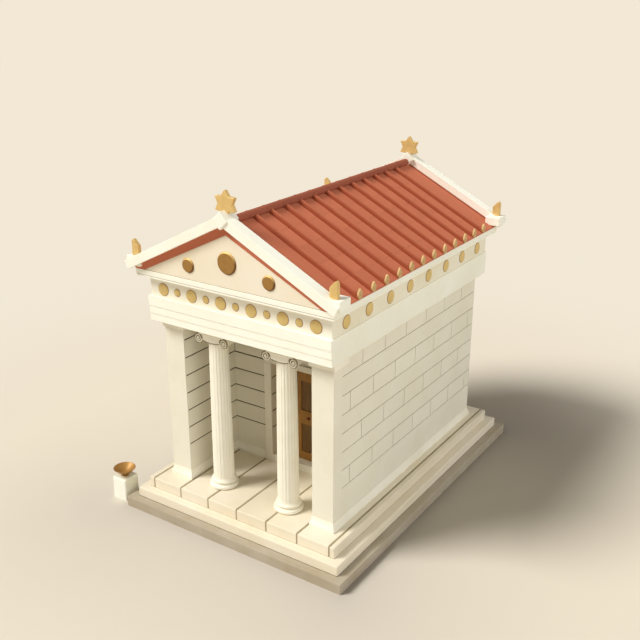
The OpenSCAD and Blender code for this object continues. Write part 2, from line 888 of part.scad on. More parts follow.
// a row of leaves on the lower edge of each roof slope
module antefixes() color(gold) {
    both_sides() difference() {
        for (i = [0 : antefix_count - 1])
            translate([eave_x - antefix_t, (i - (antefix_count - 1) / 2) * antefix_pitch, z_eave])
                rotate([90, 0, 90]) linear_extrude(antefix_t) polygon(antefix_outline);
        slope_bar(z_rake - roof_ridge_t, roof_ridge_t * cos(roof_pitch), eave_x + e, -slope_hd, slope_hd);
    }
}

// ---- altar ----

module altar_block() color(marble) {
    box(altar_x - altar_w / 2, altar_x + altar_w / 2, altar_y - altar_w / 2, altar_y + altar_w / 2,
        0, altar_h);
}

// open bowl on a short foot
module offering_bowl() color(bronze) {
    foot_r = bowl_r * 0.3;
    foot = 35;
    depth = bowl_h - foot;
    ball_r = (bowl_r * bowl_r + depth * depth) / (2 * depth);
    translate([altar_x, altar_y, altar_h]) {
        cylinder(r = foot_r, h = foot + 8, $fn = 64);
        translate([0, 0, foot]) rotate_extrude($fn = 64) intersection() {
            difference() {
                translate([0, ball_r]) circle(r = ball_r, $fn = 180);
                translate([0, ball_r]) circle(r = ball_r - bowl_t, $fn = 180);
            }
            square([bowl_r * 2, depth]);
        }
    }
}

foundation_course();
lower_step();
stylobate_slabs();
left_wall();
right_wall();
rear_wall();
door_wall_piers();
door_wall_over();
foot_moulding_left();
foot_moulding_right();
anta_capitals();
column_bases();
column_shafts();
column_capitals();
threshold();
door_casing();
left_leaf_frame();
left_leaf_panels();
left_leaf_boss();
right_leaf_frame();
right_leaf_panels();
right_leaf_boss();
front_architrave();
rear_architrave();
side_architraves();
frieze_ends();
frieze_sides();
frieze_discs();
bed_mouldings();
cornice_ends();
cornice_sides();
tympana();
gable_discs();
left_roof_slope();
right_roof_slope();
ridge_cover();
front_raking_cornices();
rear_raking_cornices();
ridge_blocks();
corner_blocks();
ridge_stars();
corner_leaves();
antefixes();
altar_block();
offering_bowl();
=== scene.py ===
import logging
import math
import random
from dataclasses import dataclass
from enum import Enum
from functools import cache, partial
from typing import Any, Callable, Iterable, Sequence

import bmesh
import bpy
from mathutils import Matrix, Vector


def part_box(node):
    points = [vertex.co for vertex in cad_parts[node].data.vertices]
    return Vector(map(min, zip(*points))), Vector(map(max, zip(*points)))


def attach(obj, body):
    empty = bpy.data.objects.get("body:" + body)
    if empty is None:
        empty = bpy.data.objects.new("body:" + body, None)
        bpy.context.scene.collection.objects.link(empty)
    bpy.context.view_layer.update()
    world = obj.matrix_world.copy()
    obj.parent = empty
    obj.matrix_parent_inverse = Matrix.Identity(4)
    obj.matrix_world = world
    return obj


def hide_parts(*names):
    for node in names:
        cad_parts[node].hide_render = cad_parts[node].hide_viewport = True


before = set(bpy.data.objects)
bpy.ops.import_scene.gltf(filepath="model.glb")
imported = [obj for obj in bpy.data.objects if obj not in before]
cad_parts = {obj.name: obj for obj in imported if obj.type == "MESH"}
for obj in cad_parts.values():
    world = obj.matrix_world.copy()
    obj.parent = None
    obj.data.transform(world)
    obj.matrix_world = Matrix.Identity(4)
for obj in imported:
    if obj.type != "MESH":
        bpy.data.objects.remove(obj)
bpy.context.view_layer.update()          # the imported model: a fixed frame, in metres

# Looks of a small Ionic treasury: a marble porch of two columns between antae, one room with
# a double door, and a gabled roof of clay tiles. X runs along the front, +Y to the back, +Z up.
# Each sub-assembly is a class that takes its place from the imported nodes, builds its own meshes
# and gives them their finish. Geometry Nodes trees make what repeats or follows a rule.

LOG = logging.getLogger("treasury")
MM = 0.001                 # one millimetre, in metres
WELD = 2e-5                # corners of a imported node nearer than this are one
TOUCH = 2e-4               # an edge nearer to a plane than this lies in it
Point = tuple[float, float]
Triple = tuple[float, float, float]
Colour = tuple[float, float, float, float]
Node, Socket, Mesh = bpy.types.Node, bpy.types.NodeSocket, bpy.types.Mesh
Object, Material, Edge = bpy.types.Object, bpy.types.Material, bmesh.types.BMEdge
Adder = Callable[..., Node]


class Body(Enum):
    """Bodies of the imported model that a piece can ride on."""

    ROOT = "root"
    LEFT_LEAF = "left_leaf"
    RIGHT_LEAF = "right_leaf"


class Slot(Enum):
    """Material slots of the record."""

    MARBLE = "marble"
    STEP_MARBLE = "step_marble"
    ASHLAR = "ashlar_marble"
    TYMPANUM = "tympanum_stone"
    FOUNDATION = "foundation_stone"
    TILE = "roof_tile"
    GILDING = "gilding"
    BRONZE = "bronze"
    DOOR_FRAME = "door_frame_wood"
    DOOR_PANEL = "door_panel_wood"


class Axis(Enum):
    """Axes of the shared frame."""

    X = 0
    Y = 1
    Z = 2


Plane = tuple[Axis, float]
Math = Enum("Math", "ADD SUBTRACT MULTIPLY DIVIDE MULTIPLY_ADD MODULO FLOOR FRACT ABSOLUTE POWER "
            "MINIMUM MAXIMUM LESS_THAN GREATER_THAN ARCTAN2")     # what a Math node does
NOISE, RANGE, MIX = "ShaderNodeTexNoise", "ShaderNodeMapRange", "ShaderNodeMix"
ATTRIBUTE, VECTOR_MATH, COMBINE = ("ShaderNodeAttribute", "ShaderNodeVectorMath",
                                   "ShaderNodeCombineXYZ")


# ---- nodes and finishes ----

def linear(hex_code: str) -> Colour:
    """Turn an sRGB hex colour into linear values.

    Args:
        hex_code: colour such as "#EFE6D2".

    Returns:
        Linear red, green, blue and an alpha of 1.
    """
    channels = [int(hex_code[i:i + 2], 16) / 255 for i in (1, 3, 5)]
    return (*(c / 12.92 if c <= 0.04045 else ((c + 0.055) / 1.055) ** 2.4 for c in channels), 1.0)


def add_node(tree: bpy.types.NodeTree, kind: str | Math, *numbered: Any, **named: Any) -> Node:
    """Add a node with its settings, its constants and its links.

    Args:
        tree: the tree that takes the node.
        kind: type name of the node, or what a Math node does.
        numbered: its first inputs in order, each a constant, a socket, a node whose first live
            output is meant, or a list of them for an input that takes several links.
        named: other inputs, with a capital and _ for a space; small letters name a setting.

    Returns:
        The new node.
    """
    if isinstance(kind, Math):
        kind, named["operation"] = "ShaderNodeMath", kind.name
    node = tree.nodes.new(kind)
    for name in [name for name in named if name.islower()]:
        setattr(node, name, named.pop(name))
    for key, value in (*enumerate(numbered), *named.items()):
        socket = node.inputs[key if isinstance(key, int) else key.replace("_", " ")]
        for source in value if isinstance(value, list) else [value]:
            if isinstance(source, Node):
                source = next(output for output in source.outputs if output.enabled)
            if isinstance(source, Socket):
                tree.links.new(source, socket)
            else:
                socket.default_value = source
    return node


def nodes_of(holder: Any) -> Adder:
    """Clear the nodes of a material or a world.

    Args:
        holder: the material or the world.

    Returns:
        What adds a node there.
    """
    holder.use_nodes = True
    holder.node_tree.nodes.clear()
    return partial(add_node, holder.node_tree)


@dataclass(frozen=True)
class Finish:
    """Finish of one material: two colours that drift into each other, on Object coordinates."""

    name: str
    base: str
    cloud: str

    def build(self) -> Material:
        """Build the material.

        Returns:
            The new material.
        """
        material = bpy.data.materials.new(self.name)
        add = nodes_of(material)
        place = add("ShaderNodeTexCoord").outputs["Object"]
        add("ShaderNodeOutputMaterial", self.shade(add, place))
        return material

    def shade(self, add: Adder, place: Socket) -> Node:
        """Return the shader, from what the finish paints."""
        return add("ShaderNodeBsdfPrincipled", **self.paint(add, place))

    def paint(self, add: Adder, place: Socket) -> dict[str, Any]:
        """Return the inputs of the shader, with _ for a space."""
        raise NotImplementedError

    @property
    def tones(self) -> dict[str, Any]:
        """Return the two colours as what a Mix node blends."""
        return {"A": linear(self.base), "B": linear(self.cloud), "data_type": "RGBA"}


@dataclass(frozen=True)
class StoneFinish(Finish):
    """Dressed stone: soft clouds and a few veins in the mass, a fine tooled grain on the face.

    The clouds give large faces a slow change of tone, and the grain breaks up the highlight.
    """

    vein: str
    cloud_mm: float = 1100.0     # size of a cloud in a marble block
    vein_mm: float = 1900.0      # distance between veins
    grain_mm: float = 9.0        # calcite grains are 1 to 2 mm; drawn coarser, so that they show
    vein_share: float = 0.08
    vein_width: float = 0.014    # half a vein, as a share of the noise that it follows
    block_share: float = 0.05    # how much one block differs from the next
    relief_mm: float = 0.5
    roughness: float = 0.62
    painted_light_gain: float = 0.15   # how much painted light brightens a face where it is 1, or painted shade darkens it where it is -1
    shade_saturation: float = 1.5           # how much yellower painted shade makes a face, where it is -1

    def paint(self, add: Adder, place: Socket) -> dict[str, Any]:
        """Paint the clouds, the veins, the grain, and the painted light and shade.

        Args:
            add: adds a node to the material.
            place: the Object coordinates.

        Returns:
            The inputs of the shader, with _ for a space.
        """
        clouds = add(NOISE, place, Scale=1 / (self.cloud_mm * MM), Detail=4.0, Roughness=0.55)
        veins = add(NOISE, place, Scale=1 / (self.vein_mm * MM), Detail=6.0, Distortion=0.9)
        grain = add(NOISE, place, Scale=1 / (self.grain_mm * MM), Detail=3.0)
        from_vein = add(Math.ABSOLUTE, add(Math.SUBTRACT, veins, 0.5))
        weather, block = (add(ATTRIBUTE, attribute_name=name).outputs["Fac"]
                          for name in ("weather", "block_tone"))
        painted_brightness = add(Math.MULTIPLY_ADD, weather, self.painted_light_gain, 1.0)
        shaded = add(
            "ShaderNodeHueSaturation",
            Color=add(MIX, add(RANGE, from_vein, 0.0, self.vein_width, self.vein_share, 0.0),
                      A=add(MIX, add(RANGE, clouds, 0.35, 0.7), **self.tones),
                      B=linear(self.vein), data_type="RGBA"),
            Saturation=add(RANGE, weather, -1.0, 0.0, self.shade_saturation, 1.0),
            Value=add(Math.MULTIPLY, painted_brightness, add(RANGE, block, To_Min=1 + self.block_share / 2,
                                                   To_Max=1 - self.block_share / 2)))
        return {"Base_Color": shaded, "IOR": 1.49, "Specular_IOR_Level": 0.35,
                "Roughness": add(RANGE, grain, To_Min=self.roughness - 0.08,
                                 To_Max=self.roughness + 0.08),
                "Normal": add("ShaderNodeBump", Height=grain, Strength=0.35,
                              Distance=self.relief_mm * MM)}


@dataclass(frozen=True)
class ClayFinish(Finish):
    """Fired clay, pressed in a mould: matt, with darker fire clouds and a sandy face."""

    cloud_mm: float = 520.0      # fire clouds are about as wide as one tile
    fleck_mm: float = 26.0       # flecks of 3 to 5 mm; drawn coarser, so that they show
    sand_mm: float = 7.0         # sand of 1 mm; drawn coarser, so that it shows
    sand_relief_mm: float = 0.6
    tile_share: float = 0.07
    roughness: float = 0.82
    flank_shade: str = "#934428"      # painted shade, dark low on one flank of a cover tile

    def paint(self, add: Adder, place: Socket) -> dict[str, Any]:
        """Paint the fire clouds, the flecks, the painted shade and the sand.

        Args:
            add: adds a node to the material.
            place: the Object coordinates.

        Returns:
            The inputs of the shader, with _ for a space.
        """
        clouds, flecks, sand = (
            add(NOISE, place, Scale=1 / (size * MM), Detail=detail)
            for size, detail in ((self.cloud_mm, 3.0), (self.fleck_mm, 2.0), (self.sand_mm, 3.0)))
        share = add(Math.ADD, add(RANGE, clouds, 0.4, 0.75, 0.0, 0.22),
                    add(RANGE, flecks, 0.55, 0.75, 0.0, 0.2))
        growth, tile = (add(ATTRIBUTE, attribute_name=name).outputs["Fac"]
                        for name in ("growth", "block_tone"))
        shaded = add("ShaderNodeHueSaturation", Color=add(MIX, share, **self.tones),
                     Value=add(RANGE, tile, To_Min=1 + self.tile_share / 2,
                               To_Max=1 - self.tile_share / 2))
        return {"Base_Color": add(MIX, growth, A=shaded, B=linear(self.flank_shade),
                                  data_type="RGBA"),
                "Roughness": self.roughness, "Specular_IOR_Level": 0.25,
                "Normal": add("ShaderNodeBump", Height=sand, Strength=0.3,
                              Distance=self.sand_relief_mm * MM)}


@dataclass(frozen=True)
class MetalFinish(Finish):
    """Cast metal, gilded or patinated: satin, with rubbed places and a thin hammered unevenness."""

    metallic: float
    roughness: float
    patina_mm: float = 140.0     # a patch of patina
    hammer_mm: float = 24.0      # a hammer mark
    hammer_relief_mm: float = 0.8
    patina_share: float = 0.35
    rim_shade: str = "#7A5424"       # painted shade: dark brown on the lower side of a rim

    def paint(self, add: Adder, place: Socket) -> dict[str, Any]:
        """Paint the patina, the painted shade and the hammer marks.

        Args:
            add: adds a node to the material.
            place: the Object coordinates.

        Returns:
            The inputs of the shader, with _ for a space.
        """
        patches = add(NOISE, place, Scale=1 / (self.patina_mm * MM), Detail=5.0, Roughness=0.6)
        marks = add(NOISE, place, Scale=1 / (self.hammer_mm * MM), Detail=1.0)
        toned = add(MIX, add(RANGE, patches, 0.42, 0.7, 0.0, self.patina_share), **self.tones)
        growth = add(ATTRIBUTE, attribute_name="growth").outputs["Fac"]
        return {"Base_Color": add(MIX, growth, A=toned, B=linear(self.rim_shade),
                                  data_type="RGBA"),
                "Metallic": self.metallic,
                "Roughness": add(RANGE, patches, To_Min=self.roughness - 0.06,
                                 To_Max=self.roughness + 0.12),
                "Normal": add("ShaderNodeBump", Height=marks, Strength=0.25,
                              Distance=self.hammer_relief_mm * MM)}


@dataclass(frozen=True)
class WoodFinish(Finish):
    """Sawn and oiled hardwood, its grain running up the door."""

    ring_mm: float = 22.0        # distance between two growth bands on a sawn face
    stretch: float = 0.06        # how much slower the figure changes along the grain
    pore_mm: float = 5.0         # pores are under 1 mm wide; drawn coarser, so that they show
    pore_relief_mm: float = 0.5
    roughness: float = 0.5

    def paint(self, add: Adder, place: Socket) -> dict[str, Any]:
        """Paint the growth bands and the pores.

        Args:
            add: adds a node to the material.
            place: the Object coordinates.

        Returns:
            The inputs of the shader, with _ for a space.
        """
        along = add("ShaderNodeMapping", place, Scale=(1.0, 1.0, self.stretch))
        bands = add(NOISE, along, Scale=1 / (self.ring_mm * MM), Detail=4.0, Distortion=0.6)
        pores = add(NOISE, along, Scale=1 / (self.pore_mm * MM), Detail=2.0)
        return {"Base_Color": add(MIX, add(RANGE, bands, 0.35, 0.65), **self.tones),
                "Roughness": add(RANGE, pores, To_Min=self.roughness - 0.08,
                                 To_Max=self.roughness + 0.12),
                "Normal": add("ShaderNodeBump", Height=pores, Strength=0.3,
                              Distance=self.pore_relief_mm * MM)}


# Fine-grained white marble, honed: warm white, satin, with hardly any veins.
MARBLE = StoneFinish("Honed warm marble", "#F7F2E3", "#EDE7D3", "#D6CAAC")
# Pale beds of the same quarry, kept for the cornices: nearly white.
CORNICE_MARBLE = StoneFinish("Pale cornice marble", "#FAF8EB", "#F4F2E2", "#DED6BC",
                             vein_share=0.1)
# The same marble underfoot: a little greyer and rougher from wear.
STEP_MARBLE = StoneFinish("Worn step marble", "#EBE1CD", "#E5D9BF", "#CEC0A2",
                          roughness=0.68, relief_mm=0.8)
# The same marble in the wall, dressed with a claw chisel, so matt; each block has its own tone.
ASHLAR = StoneFinish("Dressed ashlar marble", "#EBE6D5", "#E6E0CC", "#D2C7AE",
                     block_share=0.04, roughness=0.7, relief_mm=0.9)
# Lime mortar deep in the joints, dark with age.
MORTAR = StoneFinish("Aged lime mortar", "#5C513C", "#4E4431", "#43392A", cloud_mm=300.0,
                     vein_share=0.0, roughness=0.9, relief_mm=1.5)
# Painted shade for the carved channels of the capitals: a dark tone where the grooves lie in shade.
CHANNEL_SHADE = StoneFinish("Weathered marble groove", "#8F8469", "#7E745A", "#6E644C",
                        cloud_mm=200.0, roughness=0.9)
# Lime mortar between the slabs of the floor, swept by feet and rain: tan, hardly in shade.
FLOOR_MORTAR = StoneFinish("Worn floor mortar", "#A6987A", "#968868", "#86785A", cloud_mm=200.0,
                           vein_share=0.0, roughness=0.9)
# Lime-washed soft stone behind the gable figures: creamier and flatter than marble.
TYMPANUM = StoneFinish("Limewashed stone", "#EEE4D1", "#E9DDC3", "#DDCFB0",
                       vein_share=0.05, roughness=0.8)
# Tan shelly limestone, tooled: matt, with clear clouds.
LIMESTONE = StoneFinish("Tooled tan limestone", "#B5AA97", "#AA9C84", "#95866C", cloud_mm=700.0,
                        vein_share=0.1, roughness=0.85, relief_mm=1.5)
# Iron-rich terracotta, fired hard.
TILE = ClayFinish("Fired terracotta", "#C77354", "#B86346")
# The ridge tiles come from another kiln, overfired and darker.
RIDGE_TILE = ClayFinish("Overfired terracotta", "#A05942", "#8C4834")
# Gold leaf over cast bronze: bright satin yellow, dulled in places.
GILDING = MetalFinish("Gilded bronze", "#DDBB78", "#C49C5A", metallic=0.25, roughness=0.5)
# The same, where rain runs over it: duller and a little green.
DULL_GILDING = MetalFinish("Tarnished gilding", "#D8BC7A", "#BFA262", metallic=0.2, roughness=0.6)
# Gilding on the eaves, where rain water runs over it: paler brown, most of the leaf gone.
WORN_GILDING = MetalFinish("Worn gilding", "#C6A56E", "#A78A58", metallic=0.2, roughness=0.6)
# Cast bronze with a brown patina and rubbed edges.
BRONZE = MetalFinish("Patinated bronze", "#A2783A", "#84591F", metallic=0.35, roughness=0.45)
# Bronze of the door bosses, black-red from hands and smoke; behind the frieze discs the same dark
# tone is painted shade round each disc.
DARK_BRONZE = MetalFinish("Smoked bronze", "#84401C", "#5E2A12", metallic=0.3, roughness=0.4)
# Oiled cedar of the door frame, red-brown.
DOOR_FRAME = WoodFinish("Oiled cedar", "#A87630", "#926322")
# Smoked oak of the sunk panels, nearly black-brown.
DOOR_PANEL = WoodFinish("Smoked oak", "#795724", "#69491B", roughness=0.55)

FINISHES: dict[Slot, Finish] = dict(zip(Slot, (
    MARBLE, STEP_MARBLE, ASHLAR, TYMPANUM, LIMESTONE, TILE, GILDING, BRONZE, DOOR_FRAME,
    DOOR_PANEL)))


@cache
def material_of(finish: Finish) -> Material:
    """Return the material of a finish, built when it is first asked for."""
    return finish.build()


# ---- meshes ----

def stand(name: str, data: Any) -> Object:
    """Stand a mesh, a lamp or a camera in the scene.

    Args:
        name: name of the new object.
        data: the mesh, the lamp or the camera.

    Returns:
        The new object.
    """
    item = bpy.data.objects.new(name, data)
    bpy.context.scene.collection.objects.link(item)
    return item


def baked(holder: Object, name: str) -> Mesh:
    """Turn an object and its modifiers into a plain mesh.

    Args:
        holder: object with its modifiers set; its modifiers are removed.
        name: name of the new mesh.

    Returns:
        The plain mesh.
    """
    graph = bpy.context.evaluated_depsgraph_get()
    mesh = bpy.data.meshes.new_from_object(holder.evaluated_get(graph), depsgraph=graph,
                                           preserve_all_data_layers=True)
    mesh.name = name
    holder.modifiers.clear()
    return mesh


class Shape:
    """A mesh put together part by part, in metres in the shared frame."""

    def __init__(self) -> None:
        """Start with an empty mesh."""
        self.mesh = bmesh.new()

    def box(self, low: Sequence[float], high: Sequence[float]) -> "Shape":
        """Add a box.

        Args:
            low: its lowest corner.
            high: its highest corner.

        Returns:
            This shape.
        """
        size = [b - a for a, b in zip(low, high)]
        middle = [(a + b) / 2 for a, b in zip(low, high)]
        bmesh.ops.create_cube(self.mesh, size=1.0, matrix=Matrix.Translation(middle)
                              @ Matrix.Diagonal((*size, 1.0)))
        return self

    def prism(self, outline: Sequence[Point], axis: Axis, start: float, end: float) -> "Shape":
        """Add a prism.

        Args:
            outline: corners in the plane across the axis: (y, z), (x, z) or (x, y).
            axis: axis that the prism runs along.
            start: where it begins on that axis.
            end: where it ends.

        Returns:
            This shape.
        """
        at = axis.value
        return self.loft([[Vector((*co[:at], place, *co[at:])) for co in outline]
                          for place in (start, end)])

    def loft(self, sections: Sequence[Sequence[Vector]]) -> "Shape":
        """Add a closed body through sections.

        Args:
            sections: rings of corners, all with the same number of them.

        Returns:
            This shape.
        """
        rings = [[self.mesh.verts.new(co) for co in section] for section in sections]
        faces = [self.mesh.faces.new(rings[0]), self.mesh.faces.new(rings[-1][::-1])]
        for near, far in zip(rings, rings[1:]):
            for i, j in zip(range(len(near)), [*range(1, len(near)), 0]):
                faces.append(self.mesh.faces.new((near[j], near[i], far[i], far[j])))
        bmesh.ops.recalc_face_normals(self.mesh, faces=faces)
        return self

    def turned(self, profile: Sequence[Point], place: Matrix = Matrix(),
               steps: int = 96) -> "Shape":
        """Add a body turned about the local Z axis.

        Args:
            profile: (radius, height) from one pole to the other; both ends have radius 0.
            place: where the body's own frame lies.
            steps: number of steps round the axis.

        Returns:
            This shape.
        """
        rings: list[list[bmesh.types.BMVert]] = []
        for radius, height in profile:
            turns = [2 * math.pi * i / steps for i in range(steps if radius > 0 else 1)]
            rings.append([self.mesh.verts.new(place @ Vector((
                radius * math.cos(a), radius * math.sin(a), height))) for a in turns])
        faces = []
        for low, high in zip(rings, rings[1:]):
            for i in range(steps):
                j = (i + 1) % steps
                around = [low[i % len(low)], low[j % len(low)],
                          high[j % len(high)], high[i % len(high)]]
                faces.append(self.mesh.faces.new(list(dict.fromkeys(around))))
        bmesh.ops.recalc_face_normals(self.mesh, faces=faces)
        return self

    def add(self, mesh: Mesh, place: Matrix) -> "Shape":
        """Add a copy of a plain mesh at a place.

        Args:
            mesh: the mesh.
            place: where it goes.

        Returns:
            This shape.
        """
        part = bmesh.new()
        part.from_mesh(mesh)
        return self._take(part, place)

    def node(self, name: str) -> "Shape":
        """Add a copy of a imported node, with its loose triangles joined into flat faces.

        Args:
            name: name of the node.

        Returns:
            This shape.
        """
        part = bmesh.new()
        part.from_mesh(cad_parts[name].data)
        bmesh.ops.remove_doubles(part, verts=part.verts[:], dist=WELD)
        bmesh.ops.dissolve_limit(part, angle_limit=math.radians(1.0), verts=part.verts[:],
                                 edges=part.edges[:])
        return self._take(part)

    def join(self, other: "Shape", place: Matrix = Matrix()) -> "Shape":
        """Add a copy of another shape at a place."""
        return self._take(other.mesh.copy(), place)

    def both(self, axis: Axis) -> "Shape":
        """Add the mirror image of everything so far across the middle plane of an axis."""
        turn = Matrix.Scale(-1, 4, Vector([float(axis.value == i) for i in range(3)]))
        return self.join(self, turn)

    def _take(self, part: bmesh.types.BMesh, place: Matrix = Matrix()) -> "Shape":
        """Add another edit mesh, which is used up.

        Args:
            part: the edit mesh.
            place: where it goes; a mirrored place turns its faces back out.

        Returns:
            This shape.
        """
        bmesh.ops.transform(part, matrix=place, verts=part.verts[:])
        if place.determinant() < 0:
            bmesh.ops.reverse_faces(part, faces=part.faces[:])
        carrier = bpy.data.meshes.new("carrier")
        part.to_mesh(carrier)
        part.free()
        self.mesh.from_mesh(carrier)
        bpy.data.meshes.remove(carrier)
        return self

    def bevel(self, width_mm: float, segments: int = 2, flat: Iterable[Plane] = (),
              angle: float = 28.0, convex: bool = True,
              pick: Callable[[Edge], bool] = lambda edge: True) -> "Shape":
        """Round the arrises made so far.

        Args:
            width_mm: width of the rounding.
            segments: faces across it.
            flat: planes where the piece meets its neighbour, whose edges stay sharp.
            angle: the least angle, in degrees, at which two faces make an arris.
            convex: whether only outer arrises are rounded.
            pick: tells which of these edges to round.

        Returns:
            This shape.
        """
        planes = list(flat)
        edges = [
            edge for edge in self.mesh.edges
            if len(edge.link_faces) == 2 and (edge.is_convex or not convex)
            and edge.calc_face_angle() > math.radians(angle)
            and not any(all(abs(v.co[axis.value] - at) < TOUCH for v in edge.verts)
                        for axis, at in planes) and pick(edge)
        ]
        bmesh.ops.bevel(self.mesh, geom=edges, offset=width_mm * MM, segments=segments,
                        profile=0.5, affect="EDGES", clamp_overlap=True)
        return self

    def grow(self, amount: Callable[[Vector], float]) -> "Shape":
        """Store how much painted shade each vertex gets, which the clay and metal finishes read.

        Args:
            amount: gives it for a place.

        Returns:
            This shape.
        """
        layer = self.mesh.verts.layers.float.new("growth")
        for vert in self.mesh.verts:
            vert[layer] = amount(vert.co)
        return self

    def weather(self, amount: Callable[[Vector], float]) -> "Shape":
        """Store how much painted light brightens each face, or painted shade darkens it, which the
        stone finish reads.

        Args:
            amount: gives it for a normal: up to 1 for painted light, down to -1 for painted shade.

        Returns:
            This shape.
        """
        self.mesh.normal_update()
        layer = self.mesh.loops.layers.float.new("weather")
        for face in self.mesh.faces:
            for loop in face.loops:
                loop[layer] = amount(face.normal)
        return self

    def tone_blocks(self, seed: int) -> "Shape":
        """Give each separate block of the mesh its own tone, which the finish reads.

        Args:
            seed: seed of the tones.

        Returns:
            This shape.
        """
        layer = (self.mesh.verts.layers.float.get("block_tone")
                 or self.mesh.verts.layers.float.new("block_tone"))
        dice = random.Random(seed)
        seen: set[bmesh.types.BMVert] = set()
        for start in self.mesh.verts:
            if start in seen:
                continue
            tone, todo = dice.random(), [start]
            seen.add(start)
            while todo:
                vert = todo.pop()
                vert[layer] = tone
                beyond = {edge.other_vert(vert) for edge in vert.link_edges} - seen
                seen |= beyond
                todo.extend(beyond)
        return self

    def plain(self, name: str) -> Mesh:
        """Turn the shape into a plain mesh, which uses it up.

        Args:
            name: name of the mesh.

        Returns:
            The mesh.
        """
        mesh = bpy.data.meshes.new(name)
        self.mesh.to_mesh(mesh)
        self.mesh.free()
        return mesh

    def piece(self, slot: Slot, *replaces: str, name: str = "", body: Body = Body.ROOT,
              smooth: float = 40.0, finish: Finish | None = None) -> None:
        """Finish the mesh as a piece of the model.

        Args:
            slot: the record's slot that its finish comes from.
            replaces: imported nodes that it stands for.
            name: name of the piece, if it isn't that of its first node.
            body: the body that it rides on.
            smooth: greatest angle, in degrees, that is shaded smooth.
            finish: a finish that varies the one of the slot.
        """
        name = name or replaces[0].capitalize()
        mesh = self.plain(name)
        mesh.polygons.foreach_set("use_smooth", [True] * len(mesh.polygons))
        mesh.set_sharp_from_angle(angle=math.radians(smooth))
        piece = stand(name, mesh)
        piece.modifiers.new("even flats", "WEIGHTED_NORMAL").keep_sharp = True
        piece.data = baked(piece, name)
        piece.data.materials.clear()
        piece.data.materials.append(material_of(finish or FINISHES[slot]))
        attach(piece, body.value)
        if replaces:
            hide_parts(*replaces)
        piece.data.calc_loop_triangles()
        LOG.info("%s: %d triangles, for %s", name, len(piece.data.loop_triangles),
                 ", ".join(replaces) or "no node")


# ---- geometry node trees ----

class GeometryTree:
    """A Geometry Nodes tree with named sizes, which gives a plain mesh.

    Attributes:
        title: name of the tree.
        sizes: names and usual values of its inputs.
    """

    title = "Tree"
    sizes: dict[str, Any] = {}

    def __init__(self) -> None:
        """Build the tree: its inputs, what the subclass grows, and the material at the end."""
        self.group = bpy.data.node_groups.new(self.title, "GeometryNodeTree")
        face = self.group.interface
        kinds = {int: "NodeSocketInt", float: "NodeSocketFloat", type(None): "NodeSocketObject"}
        for name, value in self.sizes.items():
            socket = face.new_socket(name, in_out="INPUT", socket_type=kinds[type(value)])
            if value is not None:
                socket.default_value = value
        face.new_socket("Material", in_out="INPUT", socket_type="NodeSocketMaterial")
        face.new_socket("Geometry", in_out="OUTPUT", socket_type="NodeSocketGeometry")
        self.add = add = partial(add_node, self.group)
        *self.given, material, _ = add("NodeGroupInput").outputs
        real = add("GeometryNodeRealizeInstances", self.grow())
        add("NodeGroupOutput", add("GeometryNodeSetMaterial", real, Material=material))

    def grow(self) -> Node:
        """Build what lies between the inputs and the end of the tree."""
        raise NotImplementedError

    @classmethod
    @cache
    def built(cls) -> "GeometryTree":
        """Return the one tree of this class."""
        return cls()

    @classmethod
    def run(cls, finish: Finish, place: Matrix = Matrix(), **sizes: Any) -> Shape:
        """Run the tree.

        Args:
            finish: finish of the material that it sets.
            place: where its mesh goes.
            sizes: its inputs by name, with _ for a space.

        Returns:
            A shape with the mesh that it makes.
        """
        holder = stand(cls.title, bpy.data.meshes.new(cls.title))
        modifier = holder.modifiers.new(cls.title, "NODES")
        modifier.node_group = cls.built().group
        sockets = {item.name: item.identifier
                   for item in modifier.node_group.interface.items_tree if item.in_out == "INPUT"}
        values = {name.replace("_", " "): value for name, value in sizes.items()}
        for name, value in {**cls.sizes, **values, "Material": material_of(finish)}.items():
            modifier[sockets[name]] = value
        mesh = baked(holder, cls.title)
        shape = Shape().add(mesh, place)
        for used in (mesh, holder.data):     # the second takes the holder with it
            bpy.data.meshes.remove(used)
        return shape


